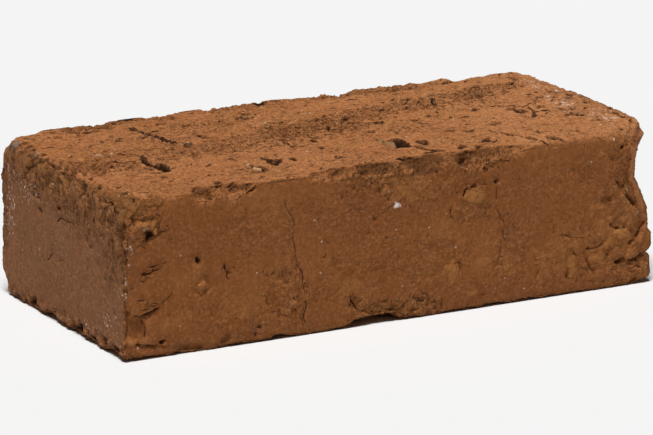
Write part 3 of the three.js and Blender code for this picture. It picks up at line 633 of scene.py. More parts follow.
front.ledge([(-14, 22), (-9, 24), (-3, 25.8)], 0.3, 2.5, side=-1)
front.rough(-9, 45, 9, 18, 0.32)
front.pit(-9.6, 45.2, 1.5, 1.1, 0.8, turn=-30)
front.pit(-4.2, 36.6, 0.7, 0.6, 0.7)
front.pit(-3, 53, 1.1, 1.2, 0.7)
front.pit(-2.2, 54.8, 0.7, 0.8, 0.6)
front.pit(-7.6, 57.4, 1.6, 1.2, 0.6)
front.lump(-4.2, 57.5, 1.6, 1.3, 0.5)
front.tint("ochre", -4.4, 57.4, 2.2, 1.9, 0.9)
for a, b, ra, rb, k in ((4, 55, 15, 6, 0.6), (-30, 52, 10, 8, 0.35), (-62, 48, 14, 9, 0.35), (-86, 20, 12, 9, 0.3), (-22, 22, 12, 9, 0.45), (20, 24, 14, 10, 0.45),
                        (56, 22, 9, 12, 0.45), (30, 56, 10, 6, 0.4), (70, 52, 10, 8, 0.25), (86, 40, 12, 10, 0.3), (-66, 8, 14, 6, 0.35), (40, 10, 16, 6, 0.35)):
    front.rough(a, b, ra, rb, 0.8 * k)
for a, b, ra, rb, k in ((-58, 30, 12, 9, 0.45), (-25, 30, 9, 12, 0.45), (-96, 50, 8, 10, 0.3), (20, 25, 10, 8, 0.3), (62, 30, 8, 12, 0.3), (-8, 62, 12, 5, 0.35), (92, 12, 12, 9, 0.35),
                        (-40, 10, 12, 6, 0.3), (-84, 58, 8, 6, 0.3), (50, 60, 12, 6, 0.3)):
    front.tint("olive", a, b, ra, rb, 0.4 * k)
for a, b, ra, rb, k in ((8, 56, 14, 6, 0.4), (-20, 16, 12, 8, 0.3), (24, 36, 10, 8, 0.3), (-92, 30, 10, 6, 0.25), (78, 20, 14, 10, 0.3), (100, 30, 8, 10, 0.3), (-60, 60, 10, 5, 0.3),
                        (-70, 18, 10, 8, 0.25), (40, 22, 10, 8, 0.3)):
    front.tint("ochre", a, b, ra, rb, k)
left.tint("olive", -50, 54, 8, 12, 0.55)
left.tint("olive", -34, 58, 10, 6, 0.3)
left.tint("olive", -44, 34, 8, 10, 0.3)
left.tint("ochre", 10, 62, 40, 5, 0.5)
front.rough(10, 4.5, 9, 4, 0.9)
front.pit(12, 7.2, 1.5, 1.2, 0.8)
front.pit(9, 3.4, 2.2, 1.2, 0.8)
# chipped upper edge of the front
front.ridge([(-91.4, 69), (-88.4, 66), (-85.4, 63)], 0.55, 0.55)
front.ledge([(-14.6, 64), (-12, 60), (-10.5, 57)], 0.5, 3, side=-1)
front.rough(-6, 64, 12, 6, 0.7)
front.ridge([(20, 69.4), (23.5, 66.6), (26, 64.4)], 0.7, 0.9)
front.pit(19.2, 62.2, 0.8, 0.9, 1.3)
front.crack([(31.4, 67.4), (33.6, 65.8), (35.4, 64.8)], 0.8, 1.1, 0.9, jitter=0.15)
front.ledge([(27, 68.6), (31, 66.6), (35, 64.6), (38, 64)], 0.7, 2.6, side=1)
front.rough(44, 66, 10, 5, 0.7)
front.pit(42, 60.4, 1.0, 1.6, 0.7)
front.tint("salt", 43, 63.4, 1.2, 1.5, 0.7)
# ochre lump with its shadow
front.lump(37.4, 50, 6.4, 4.4, 1.1, steep=3, wobble=0.3)
front.ledge([(32, 53.4), (34, 53.9), (36.4, 54.2), (40, 53.8), (43, 53)], 0.5, 2, side=1, jitter=0.25)
front.tint("ochre", 37.4, 48.6, 6.4, 4.8, 1.0, wobble=0.25)
front.ledge([(31.4, 44.6), (31.6, 48.6), (32.4, 52.2), (35.2, 53.4), (38.6, 53.0), (43.2, 52.4)], 0.55, 2.6, side=-1, jitter=0.15)
front.crack([(31.8, 49.0), (32.6, 52.2), (35.0, 53.4)], 0.5, 0.6, 0.7, jitter=0.15)
front.pit(37.2, 53.4, 1.5, 0.8, 1.5, steep=3)
front.crack([(38.8, 53.4), (41, 53.7), (43.4, 53.0)], 0.4, 0.5, 0.45, jitter=0.15)
front.lump(28.2, 42.4, 2.8, 3.8, 0.9, steep=3)
front.ledge([(28.4, 46.6), (26.4, 45.6), (25.6, 43), (26.4, 40.6), (28, 38.4)], 0.5, 1.6, side=1, jitter=0.15)
front.crack([(26.2, 45.4), (25.6, 43), (26.4, 40.6)], 0.5, 0.6, 0.32, jitter=0.15)
front.rough(36, 43, 7, 4, 0.5)
front.tint("ochre", 26.8, 17.6, 3.8, 5.0, 1.0, wobble=0.4)
front.lump(26.6, 18, 3.6, 4.8, 0.8, steep=3)
front.crack([(29.6, 21.6), (30.4, 19.6), (30.6, 17.2)], 0.5, 0.7, 0.35, jitter=0.1)
front.pit(27.2, 14.4, 1.2, 0.9, 0.6)
for k in range(4):
    front.ridge([(30 + 2.4 * k, 10.6 + 0.6 * k), (34 + 2.2 * k, 15 + 0.8 * k), (38 + 2.2 * k, 19.2 + 0.4 * k)], 0.22, 0.6)
front.ridge([(33.4, 5.4), (36, 6.2), (38.8, 7.2)], 0.45, 0.8)
front.tint("ochre", 36, 6.2, 3.2, 1.4, 0.7, turn=15)
front.pit(41.5, 5.4, 1.5, 0.8, 0.5)
front.tint("ochre", 53.5, 15, 3.6, 4.5, 0.5)
front.tint("ochre", 58.4, 25.4, 1.0, 1.0, 0.8)
front.tint("ochre", 67.6, 59.3, 0.9, 1.0, 0.8)
front.tint("ochre", -74, 45.8, 0.9, 0.8, 0.9)
front.tint("ochre", -58.5, 54, 3.2, 3.0, 0.5)
front.tint("ochre", -104.8, 14.4, 1.4, 1.3, 0.8)
front.tint("ochre", -98, 15, 3.6, 1.2, 0.6)
front.tint("ochre", -121, 8.6, 3.6, 1.6, 0.9)
front.tint("ochre", -116, 6.8, 3.6, 1.0, 0.6)
front.tint("ochre", -121.8, 24.5, 2.4, 3.0, 0.5)
front.tint("ochre", -110.8, 57.5, 1.4, 2.0, 0.8)
front.tint("ochre", 93.4, 22.6, 0.9, 0.7, 0.9)
front.tint("ochre", 100, 62, 4, 4, 0.25)
front.tint("stain_and_shade", -65.6, 6.4, 3.0, 3.2, 0.8)
front.tint("stain_and_shade", -20.6, 51.4, 4.2, 2.6, 0.35)
front.tint("stain_and_shade", -117, 44.4, 0.7, 1.3, 1.0, turn=-25, wobble=0.2)
front.tint("stain_and_shade", 54.2, 28, 2.8, 5, 0.35)
front.tint("stain_and_shade", 64.6, 40, 2, 1.6, 0.45)
front.tint("stain_and_shade", -79, 3, 2.6, 2.2, 0.6)
front.tint("stain_and_shade", -100, 3, 5, 2, 0.6)
front.pit(64.6, 61, 0.7, 0.6, 0.6)
front.pit(-117.6, 13.0, 0.7, 0.7, 0.4)
# right part of the front: facet, folds and fissures
front.pit(110.4, 61.2, 1.1, 1.2, 2.0, steep=3)
front.pit(113.6, 62.2, 1.4, 0.6, 0.8)
front.ledge([(98.6, 66), (100.4, 62), (102, 58.6), (104.5, 57.2), (108, 57), (111, 58.6), (114, 57.4)], 0.5, 3.5, side=-1, jitter=0.3)
front.stone(113.8, 66, 1.8, 0.9, 0.3, turn=-20, moat=0.3, shade=0.3)
front.pit(101.6, 38.6, 3.0, 2.6, 0.7, wobble=0.4)
front.pit(103, 39.2, 0.9, 1.3, 1.0)
front.pit(102.4, 35.4, 1.2, 1.4, 0.4)
front.crack([(78.4, 26.6), (81, 26.1), (83.6, 24.6), (87, 24.2), (90.4, 24.2)], 0.35, 0.4, 0.57, jitter=0.12)
front.pit(83, 26, 0.5, 0.4, 0.6)
front.ledge([(82.6, 18.4), (81.6, 15), (82.6, 11), (82.4, 7.6), (85, 4.4)], 0.7, 2.2, side=1, jitter=0.35)
front.ridge([(84.4, 17.4), (85.2, 13), (86.2, 9.6)], 0.45, 0.9)
front.pit(82.6, 8.6, 1.2, 2.0, 0.8)
front.crack([(91.6, 15.6), (92.3, 12), (94, 9.8), (95.4, 8.2)], 0.45, 0.6, 0.47, jitter=0.12)
front.crack([(91, 18.8), (93.6, 18.3), (96, 18.6), (98.8, 19.4), (100, 20.6)], 0.55, 0.8, 0.47, jitter=0.2)
front.crack([(93.6, 29), (93, 26.4), (93.2, 23.4)], 0.45, 0.6, 0.28)
front.crack([(85.6, 19.8), (85.2, 17.4), (87, 16.2)], 0.4, 0.5, 0.53)
front.ledge([(102.6, 29), (103.6, 27), (106, 25.4), (110, 25.2), (113, 24.6)], 1.0, 3.4, side=1, jitter=0.15)
front.crack([(103, 28.6), (104, 26.6), (106, 25.4), (109.6, 25.1), (112.4, 25)], 0.7, 0.8, 0.47, jitter=0.12)
front.tint("ochre", 109.4, 22.6, 4.2, 2.8, 0.8)
front.tint("ochre", 84.8, 13, 2.0, 6.5, 0.9, turn=-8)
front.tint("ochre", 97, 14, 6, 4, 0.5)
front.tint("ochre", 104, 20, 5, 3, 0.6)
front.ledge([(107, 48), (108.6, 45), (110, 42.6), (113, 39.6), (116, 36.4), (118.4, 33)], 1.4, 3.0, side=1, jitter=0.3)
front.crack([(106.8, 47.4), (109, 44), (111, 41.4), (115, 38), (117.4, 34.6), (119.6, 31.4)], 0.9, 0.9, 0.42, jitter=0.2)
front.pit(117, 37.4, 1.8, 4.4, 1.3, turn=28, wobble=0.5)
front.pit(112.8, 43.8, 1.4, 1.0, 1.2)
front.stone(115.4, 41.8, 0.9, 2.5, 0.7, turn=10, moat=0.5, shade=0.7)
front.stone(118.6, 31.0, 2.0, 0.7, 0.4, turn=-40, moat=0.3, shade=0.45)
front.crack([(115.4, 19.8), (117.4, 21.4), (119.4, 23.2), (121.6, 25.6), (123, 27.6)], 0.8, 0.9, 0.47, jitter=0.15)
front.ledge([(115, 19.6), (119, 23), (123, 27)], 0.9, 3.2, side=1, jitter=0.2)
front.crack([(111.4, 16.6), (113.2, 18.8), (115.4, 19.6)], 0.5, 0.8, 0.38)
front.pit(113.4, 18.6, 1.3, 0.9, 0.9, turn=30)
front.crack([(105.4, 10.9), (108, 11), (110.6, 12), (113, 11.1), (117, 11), (119.6, 12.2), (124, 13.2)], 0.95, 1.4, 0.66, jitter=0.15)
front.ledge([(105, 11), (110, 11.6), (116, 11), (124, 13)], 0.9, 3.5, side=-1, jitter=0.2)
front.pit(107.6, 10.8, 2.6, 0.9, 1.3)
front.crack([(111, 6.2), (114, 7.2), (117, 8), (119.4, 6.6)], 0.5, 0.7, 0.38)
front.pit(115.6, 1.6, 1.6, 1.4, 1.2)
front.pit(101.8, 14.8, 0.8, 0.7, 0.7)
front.crack([(100.4, 12.4), (101.8, 14.4), (102, 15.4)], 0.4, 0.5, 0.38)
front.rough(99, 17, 22, 17, 0.32)
front.rough(112, 34, 12, 20, 0.38)
front.rough(110, 12, 13, 10, 0.5)
front.rough(116, 34, 6, 14, 0.5)
# painted shade in the hollows under the flakes of the top edge and in the hollow low on the near corner
front.tint("open", 14.5, 63.6, 9, 3.4, 0.85, wobble=0.45)
front.tint("open", 7.6, 62.6, 3.4, 2.8, 0.6)
front.tint("open", -119.4, 14, 4.4, 5.6, 0.42, wobble=0.4)
for a, b, ra, rb, h, tn in ((88, 20, 3.5, 5, 0.4, 10), (95, 13, 4, 3, 0.5, -20), (103, 20, 4.5, 3, 0.5, 15), (109, 22, 4, 2.6, 0.6, 0), (110, 29, 4, 3, 0.4, 20),
                            (99, 27, 3, 4, 0.35, 0), (104, 13.6, 3.6, 2.0, 0.5, 5), (113, 14, 3.5, 2.4, 0.6, 10), (118, 18, 3, 2.6, 0.7, 20), (97, 6.6, 4, 2.4, 0.4, 0),
                            (106, 6.4, 4.5, 2.6, 0.6, 5), (115, 7.6, 3.6, 2.0, 0.6, 0), (112, 39, 3, 4, 0.5, -25), (118, 30, 2.4, 4, 0.6, 10), (105, 36, 3, 3, 0.3, 0)):
    front.lump(a, b, ra, rb, h, turn=tn, wobble=0.6)
for pts, drop in (([(92, 22), (95, 20.6), (99, 21.4), (102, 23.6)], 0.5), ([(88, 12), (91, 10), (94, 9.6), (97, 11)], 0.45), ([(99, 16.6), (103, 16.8), (107, 18.6), (110, 18)], 0.6),
                  ([(104, 9.4), (108, 8.6), (112, 9.6), (116, 9.2)], 0.6), ([(108, 32), (112, 31), (115, 28.6)], 0.5), ([(112, 24), (116, 25.4), (119, 28)], 0.6)):
    front.ledge(pts, drop, 2.4, side=-1, jitter=0.5)
front.rough(84, 51, 9, 5, 0.35)
front.lump(78.6, 46.4, 1.6, 2.2, 0.35)
front.rough(110, 63, 9, 6, 0.3)
front.tint("salt", 0.6, 49.8, 1.25, 1.0, 2.4, wobble=0.15)
front.tint("salt", 1.0, 50.0, 2.8, 0.55, 2.0, turn=14, wobble=0.15)
front.tint("salt", 0.3, 50.0, 0.55, 2.3, 2.0, turn=14, wobble=0.15)
for a, b, r in ((11, 33.7, 0.5), (36.6, 47.6, 0.4), (39.3, 11.6, 0.4), (53.1, 19.2, 0.35), (61.2, 5.4, 1.0), (62.3, 7.6, 0.7), (60.6, 4.2, 0.5),
                (-97.4, 56.4, 0.45), (-89.6, 50, 0.45), (-92.2, 48, 0.4), (-90, 63.2, 0.5), (-93.4, 27, 0.3), (-83.4, 26.8, 0.35), (-84, 31.6, 0.35),
                (-116.2, 55.2, 0.5), (-95.8, 17, 0.3), (-120, 3, 0.5), (-48.3, 57, 0.4), (92.6, 56.6, 0.6), (92.2, 54, 0.45), (104.7, 65.6, 0.6),
                (106.5, 61.4, 0.4), (99.2, 58.6, 0.4), (100.8, 52.2, 0.45), (97, 51, 0.4), (111, 37, 0.8), (112, 35, 0.4), (121.2, 7, 0.5), (117.6, 1.6, 0.4),
                (92.6, 3.2, 0.5), (100.6, 27.8, 0.9), (105.4, 50, 0.4), (101.8, 47, 0.5), (-8.2, 42.6, 0.4), (5.2, 43.6, 0.3), (-54.6, 4.4, 0.6), (-68, 4.8, 0.6),
                (107, 27.6, 0.3), (99.2, 32.4, 0.4), (101, 31.6, 0.35)):
    front.tint("salt", a, b, 0.8 * r, 0.8 * r, 1.0 if r > 0.55 else 0.66, wobble=1.1)
front.tint("salt", -124, 33, 1.6, 14, 0.42, wobble=0.9)
front.tint("stain_and_shade", -121.0, 36, 1.9, 11, 0.34, wobble=0.7)
front.tint("salt", -122.4, 47, 2.0, 4, 0.5)
front.tint("salt", -120.6, 51.5, 2.0, 2.0, 0.3)
front.tint("salt", 100, 30, 7, 5, 0.16)
front.tint("salt", 104, 45, 8, 6, 0.16)
front.tint("salt", 110, 48.5, 6, 1.6, 0.35)
front.tint("salt", 106, 8, 10, 4, 0.14)

# broken corner under the near top: an overhang, crumbs below it, and a dragged hollow
front.hole([(-121.8, 61.0), (-118, 61.6), (-114, 61.2), (-110.6, 59.8), (-109.4, 58.6), (-110.8, 57.8), (-113.6, 58.4), (-116.6, 58.0), (-119.4, 58.4), (-121.4, 59.4)],
           1.1, wall=2.2, jitter=0.6, dark=0.0)
front.hole([(-114.2, 60.2), (-112, 59.8), (-110, 58.6), (-110.6, 58.0), (-112.6, 58.8), (-114, 59.2)], 0.6, wall=0.6, jitter=0.3, dark=0.3)
front.rough(-115, 55, 8, 5, 0.6)
front.lump(-118.4, 56.4, 2.4, 1.8, 0.9, turn=20)
front.lump(-114.6, 56.6, 2.0, 1.3, 1.0)
front.lump(-111.6, 56.2, 2.2, 1.5, 0.8)
front.lump(-115.4, 54.4, 2.2, 1.1, 0.9, turn=-15)
front.lump(-120.6, 53.0, 2.0, 2.4, 0.7)
front.crack([(-121.2, 61.6), (-119.5, 59.3), (-119.1, 57.5), (-117.3, 54.8), (-115.1, 53.4), (-113.2, 53.2)], 0.7, 1.0, 0.4, jitter=0.35)
front.hole([(-116.6, 50.4), (-115.4, 52.6), (-113.6, 53.6), (-111.4, 53.0), (-110.9, 51.0), (-112.4, 49.4), (-114.8, 48.2), (-116.4, 48.9)],
           1.2, wall=2.0, jitter=0.5, dark=0.0)
front.hole([(-115.2, 54.0), (-112.6, 54.6), (-110.2, 53.2), (-109.6, 51.8), (-111.2, 50.0), (-113.4, 48.8), (-114.6, 50.2), (-113.6, 52.2)], 1.7, wall=0.9, jitter=0.35, dark=0.8)
front.ridge([(-113.9, 49.8), (-112.3, 51.0), (-110.3, 52.2)], 0.9, 0.45, jitter=0.1)
front.stone(-114.6, 55.2, 1.5, 1.0, 0.9, turn=10, moat=0.4, shade=0.75)
front.tint("ochre", -110.0, 54.0, 1.3, 1.5, 1.0)
front.tint("ochre", -110.8, 56.6, 1.4, 1.8, 0.8)
front.ridge([(-116.4, 50.4), (-113.6, 51.6), (-111.8, 51.9)], 1.1, 0.5, jitter=0.15)
front.ridge([(-115.6, 48.9), (-113.2, 50.2), (-111.4, 50.9)], 1.0, 0.45, jitter=0.15)
front.lump(-110.3, 52.6, 1.5, 1.9, 0.7, turn=20)
front.crack([(-112, 49.4), (-109.8, 51.0), (-108.6, 52.6), (-106, 52.8), (-103.4, 53.4)], 0.4, 0.5, 0.5, jitter=0.2)
front.crack([(-120, 59.4), (-121.4, 57.6), (-122.6, 56.6)], 0.5, 0.6, 0.4)
front.tint("ochre", -116, 57.4, 5, 1.6, 0.7)
front.tint("ochre", -110.6, 56.4, 1.6, 2.6, 0.9)
front.tint("stain_and_shade", -121.6, 51.6, 2.6, 1.2, 0.5)
# a groove beside the near vertical edge, with painted shade laid into it by the dark tints
left.rough(-55, 49, 7, 10, 0.7)
left.ridge([(-53.5, 60), (-54.6, 54), (-55.2, 48), (-55.8, 42.5)], -0.7, 1.9, jitter=0.3, ends=0.25, shade=0.45)
left.ridge([(-57.8, 57), (-58.2, 50), (-58.2, 44)], 0.5, 0.8, jitter=0.2)
left.tint("stain_and_shade", -57, 43, 3, 4, 0.6)
left.tint("open", -55.0, 47.5, 2.8, 7.5, 0.55)
left.tint("open", -56.6, 41.5, 1.8, 3.5, 0.6)

# ---- left header
left.crack([(-37.6, 64.6), (-41, 63.8), (-44.6, 63.6), (-47, 62.6), (-49.4, 61.6), (-52, 59.8)], 0.9, 1.6, 1.0, jitter=0.15)
left.ledge([(-38, 64.4), (-44.6, 63.4), (-49.4, 61.4), (-52.6, 59.4)], 0.8, 3, side=-1, jitter=0.2)
left.crack([(4, 44), (1.4, 45.6), (-1, 47), (-4, 46.4), (-7, 46.6), (-9.6, 47.4)], 0.45, 0.6, 1.0, jitter=0.15)
left.crack([(13.8, 25), (11.4, 25.8), (11, 27.4), (9, 28.8), (8, 29.6), (6.4, 29)], 0.4, 0.5, 1.0, jitter=0.12)
left.crack([(3.4, 27.2), (0, 28.4), (-1.8, 28.6)], 0.35, 0.4, 0.7)
left.crack([(4.4, 41.6), (5.6, 40), (7.4, 39)], 0.4, 0.4, 0.6)
left.pit(8, 37.6, 2.0, 0.9, 0.7)
left.stone(7.6, 37.8, 1.0, 0.6, 0.2, shade=0.35, moat=0.1)
left.crack([(17.4, 24.2), (15.6, 24.6)], 0.4, 0.4, 0.6)
left.pit(26.4, 50, 2.0, 1.0, 1.2)
left.pit(22, 50, 2.4, 0.9, 1.1)
left.pit(20, 45.6, 3.0, 1.2, 1.3, turn=6)
left.ledge([(23, 48), (21.6, 45.6), (19, 44.6), (16.6, 45.8)], 0.8, 2.4, side=1, jitter=0.25)
left.pit(1.6, 50.6, 2.0, 0.8, 1.2)
left.pit(-24, 43.4, 1.4, 2.2, 1.2, turn=12)
left.pit(-25.4, 47, 1.0, 1.0, 0.8)
left.pit(-27.4, 41.4, 1.8, 0.9, 0.8)
left.pit(-33.4, 35.6, 1.2, 1.2, 0.9)
left.pit(-40.8, 30.8, 1.2, 0.8, 0.7)
left.pit(-41, 33, 0.7, 1.4, 0.6)
left.pit(-45.4, 46.6, 0.9, 1.1, 0.9)
left.pit(-37.8, 48.4, 1.2, 0.6, 0.7)
left.pit(-49, 36, 1.2, 0.6, 0.5)
left.pit(-17.2, 23.6, 0.7, 0.5, 0.4)
left.pit(-15.4, 20.2, 0.8, 0.5, 0.4)
left.pit(-43.6, 57, 1.6, 1.4, 0.8)
left.pit(-22.4, 63.8, 4.0, 2.8, 1.3, turn=10, wobble=0.45, open_=0.6)
left.pit(-20, 59.4, 1.8, 2.4, 1.0)
left.pit(28.6, 61, 4.0, 3.4, 0.8, wobble=0.4, open_=0.25)
left.ridge([(27.6, 67), (29.6, 64.4), (32.9, 61.6), (34.9, 58.7), (35.8, 55.4)], 0.8, 0.9, jitter=0.2)
left.ridge([(26.6, 65.6), (28.6, 62.6), (31.8, 60.2), (33.6, 57.2), (33.6, 54.6)], -0.8, 0.8, jitter=0.2, shade=0.5)
left.ridge([(21.0, 66.0), (22.4, 62.6), (24.4, 59), (25.0, 56)], -0.6, 0.9, jitter=0.2, shade=0.35)
left.pit(17.2, 66.6, 4.4, 1.9, 1.8, turn=-20, wobble=0.35, open_=0.8)
left.ridge([(13.6, 68.4), (15.0, 65.2), (16.9, 61.6), (18.0, 57.6)], 0.8, 1.1, jitter=0.2)
left.ridge([(11.9, 64.6), (11.4, 61.8), (10.3, 58.6)], -0.6, 0.7, jitter=0.2, shade=0.35)
left.ridge([(12.5, 64.8), (11.6, 67.2), (9.3, 68.4), (7.0, 68.0)], 0.8, 0.8, jitter=0.15)
left.ridge([(9.9, 65.4), (8.6, 67.0), (6.6, 67.8)], -1.0, 0.7, jitter=0.12, shade=0.8)
left.lump(3.8, 66.8, 2.6, 1.8, 0.7)
left.ridge([(1.4, 65.2), (-1.6, 66.6), (-4.4, 68.0)], -1.0, 0.7, jitter=0.15, shade=0.8)
left.ridge([(2.6, 64.6), (0.6, 62.2), (-1.9, 60.6), (-4.6, 57.4)], -0.7, 0.9, jitter=0.2, shade=0.4)
left.ridge([(-1.4, 63.6), (-3.6, 61.4), (-6.6, 58.8)], 0.5, 0.9, jitter=0.2)
left.ridge([(-7.0, 66.8), (-7.2, 63.2), (-6.2, 60.0)], -0.7, 0.8, jitter=0.2, shade=0.4)
left.ridge([(-10.4, 67.4), (-10.6, 64.0), (-9.4, 60.4), (-9.8, 57.2)], 0.6, 1.0, jitter=0.2)
left.ridge([(-13.4, 68.2), (-13.0, 66.0), (-13.8, 62.8)], -0.7, 0.7, jitter=0.2, shade=0.5)
left.lump(-17.4, 68.2, 2.6, 1.6, 0.8)
left.ridge([(-21.6, 67.8), (-21.6, 65.4), (-20.8, 62.6), (-18.6, 59.4), (-18.8, 56.6)], -1.3, 1.2, jitter=0.3, shade=0.75)
left.ridge([(-27.4, 67), (-26.4, 64), (-27.4, 61), (-26.6, 57.6)], 0.8, 1.0, jitter=0.25)
left.ridge([(-31.2, 66.8), (-30.2, 63.4), (-31.4, 60)], -0.8, 0.9, jitter=0.25, shade=0.45)
left.ridge([(-35.6, 66.4), (-34.6, 62.4), (-36.2, 58.4), (-35.6, 54.4)], 0.6, 1.2, jitter=0.25)
left.ridge([(-39.6, 62.0), (-40.4, 58.2), (-39.4, 54.0)], -0.5, 0.9, jitter=0.25, shade=0.3)
left.ridge([(40.6, 66.0), (41.8, 61.6), (41.0, 57.0), (42.0, 53.4)], 0.4, 1.1, jitter=0.25)
left.ridge([(45.0, 63.6), (46.4, 58.6), (45.6, 54.0)], -0.4, 0.9, jitter=0.25, shade=0.2)
left.ridge([(38.0, 65.4), (38.8, 61.4), (38.0, 57.6)], -0.6, 0.9, jitter=0.25, shade=0.35)
left.pit(9.4, 59.1, 0.6, 0.5, 0.3)
left.ledge([(38, 64.6), (31, 64.2), (24, 65.8), (18, 66.0), (12, 64.8), (4, 65.0), (-4, 64.6), (-12, 65.4), (-20, 65.0), (-28, 65.4), (-36, 64.6)],
           0.6, 4.5, side=-1, jitter=0.9, seed=5)
left.stone(26.4, 66.8, 1.9, 0.9, 0.5, turn=-30, moat=0.4, shade=1.0)
left.tint("slate", 47.2, 66.6, 2.6, 2.0, 1.0, turn=-20, wobble=0.35)
left.tint("slate", 46.8, 63.6, 0.9, 1.6, 0.6)
left.tint("salt", 9.4, 59.1, 0.5, 0.6, 1.0)
left.stone(9.4, 59, 1.0, 0.6, 0.2, shade=0.85, moat=0.3)
left.rough(20, 58, 36, 8, 0.7)
left.rough(-30, 56, 26, 9, 0.7)
left.rough(-22, 4, 30, 4.0, 0.5)
left.rough(30, 3, 26, 3.4, 0.5)
left.rough(56, 40, 5, 20, 0.8)
left.rough(-50, 44, 8, 12, 0.6)
# pits along the foot of the header, with strong painted shade in them
left.pit(29.0, 0.8, 4.8, 5.6, 3.0, wobble=0.25, steep=3, open_=1.0)
left.pit(43.4, 1.2, 2.6, 1.8, 1.2, open_=1.0)
left.pit(35.5, 1.0, 2.0, 2.2, 1.4, open_=1.0)
left.pit(-17.6, 3.2, 3.0, 3.8, 2.6, turn=-30, wobble=0.25, steep=3, open_=1.0)
left.pit(-13, 0.8, 6.8, 2.6, 2.4, open_=1.0)
left.pit(8, 1.6, 2.6, 2.4, 1.4, open_=0.8)
left.pit(-29, 1.2, 3.4, 1.6, 1.2, open_=0.8)
left.pit(-10, 5.2, 1.0, 1.4, 1.0)
left.pit(-40, 3.6, 3.4, 2.6, 1.6, open_=0.8)
left.pit(-51, 2.6, 4.4, 2.2, 1.8, open_=0.9)
left.lump(-22.4, 2.4, 1.6, 1.6, 0.9)
left.lump(-5.6, 2.8, 3.0, 1.8, 0.9)
left.lump(-13, 6, 2.2, 1.4, 0.6)
left.pit(-48.6, 19, 1.2, 1.8, 0.5)
left.pit(59, 21, 3.0, 2.0, 1.3)
left.tint("salt", 50, 56, 8, 5, 0.5)
left.tint("salt", 40, 54, 10, 4, 0.42)
left.tint("salt", 30, 55, 10, 6, 0.3)
left.tint("salt", -12, 60, 16, 5, 0.26)
left.tint("salt", -38, 58, 12, 6, 0.26)
left.tint("salt", -57, 32, 3.6, 13, 0.34, wobble=1.0)
left.tint("salt", -54, 27, 5, 6, 0.35)
left.tint("salt", -30, 6.5, 14, 4, 0.42)
left.tint("salt", -12, 6, 8, 3, 0.3)
left.tint("salt", -52, 6, 6, 5, 0.35)
left.tint("salt", 42, 24, 12, 5, 0.3)
left.tint("salt", 50, 40, 10, 22, 0.42)
left.tint("salt", 30, 50, 22, 8, 0.34)
left.tint("salt", -46, 14, 14, 10, 0.36)
left.tint("salt", 5, 30, 62, 34, 0.2)
left.tint("ochre", -20, 62, 3, 3, 0.4)
left.tint("ochre", -36, 56, 10, 4, 0.3)
left.tint("stain_and_shade", 58, 40, 4, 10, 0.5)

# ---- back stretcher, not seen: as the front, with its own wear
back.crack([(34, 68), (33, 60), (35, 52), (33.6, 44), (31.6, 38), (32.6, 31), (30.8, 24)], 0.5, 0.8, 1.0, jitter=0.16)
back.crack([(-62, 0), (-61, 7), (-63, 14), (-62, 20), (-59.6, 25)], 0.5, 0.8, 0.9, jitter=0.16)
back.crack([(84, 40), (88, 41), (92, 40), (97, 42)], 0.35, 0.4, 0.7)
back.pit(70, 44, 2.4, 1.8, 1.3)
back.pit(-20, 50, 1.2, 1.8, 2.0, steep=3)
back.pit(-95, 22, 2.6, 2.0, 1.2)
back.pit(12, 14, 3.4, 2.4, 1.2, wobble=0.5)
back.blister(58, 19, 3.0, 0.5, 0.3)
back.blister(-38, 31, 2.2, 0.4, 0.2)
back.rough(70, 8, 26, 6, 0.7)
back.rough(-80, 60, 30, 6, 0.6)
back.rough(18, 18, 14, 12, 0.4)
back.ledge([(54, 7), (62, 8.4), (72, 7.6), (82, 5)], 1.3, 4.5, side=-1)
back.ledge([(-74, 5), (-64, 6), (-54, 5.2), (-44, 3.4)], 1.0, 4, side=-1)
back.pit(70, 2, 12, 3.4, 1.6, steep=3)
back.pit(-60, 1.4, 12, 2.6, 1.3, steep=3)
back.pit(-75, 67, 8, 3.2, 1.4)
back.pit(32, 67, 10, 3.6, 1.8)
back.pit(91, 67, 5, 3.2, 1.8)
back.tint("ochre", -12, 28, 5, 4, 0.6)
back.tint("ochre", 96, 24, 3, 4, 0.6)
back.tint("stain_and_shade", -84, 44, 6, 4, 0.6)
back.tint("salt", 110, 20, 8, 12, 0.3)
for a, b in ((-50, 40), (-44, 12), (20, 55), (64, 33), (86, 15), (-104, 52), (-110, 12), (2, 40), (44, 60)):
    back.tint("salt", a, b, 0.6, 0.6, 1.0, wobble=0.7)

# ---- right header, mostly unseen: folds near the front edge run on round the corner
right.crack([(-59, 13), (-54, 12), (-48, 13.6), (-42, 12.8)], 0.9, 1.6, 1.0, ends=0.3)
right.crack([(-59, 27), (-54, 24), (-49, 22), (-45, 21.6)], 0.8, 1.2, 1.0, ends=0.3)
right.crack([(10, 68), (11, 60), (9, 53), (12, 46), (11, 40)], 0.5, 0.8, 0.9)
right.pit(-52, 38, 4, 6, 1.6, wobble=0.4)
right.pit(24, 26, 2.0, 1.6, 1.2)
right.pit(-12, 44, 1.6, 2.2, 1.2)
right.pit(38, 52, 2.4, 1.6, 1.0)
right.pit(0, 12, 1.3, 1.1, 0.8)
right.rough(0, 60, 50, 7, 0.5)
right.rough(10, 4, 44, 5, 0.8)
right.rough(-48, 30, 9, 26, 0.7)
right.ledge([(-34, 60), (-20, 58.6), (-6, 60.4), (8, 59), (22, 60.4), (38, 59)], 0.5, 4, side=1, jitter=0.8)
right.pit(30, 2, 9, 3.4, 1.8, steep=3)
right.pit(-22, 2, 5, 2.6, 1.6, steep=3)
right.tint("salt", 0, 60, 40, 8, 0.35)
right.tint("salt", -40, 18, 12, 8, 0.3)
right.tint("ochre", 22, 40, 6, 4, 0.4)
right.tint("stain_and_shade", 40, 20, 8, 6, 0.4)

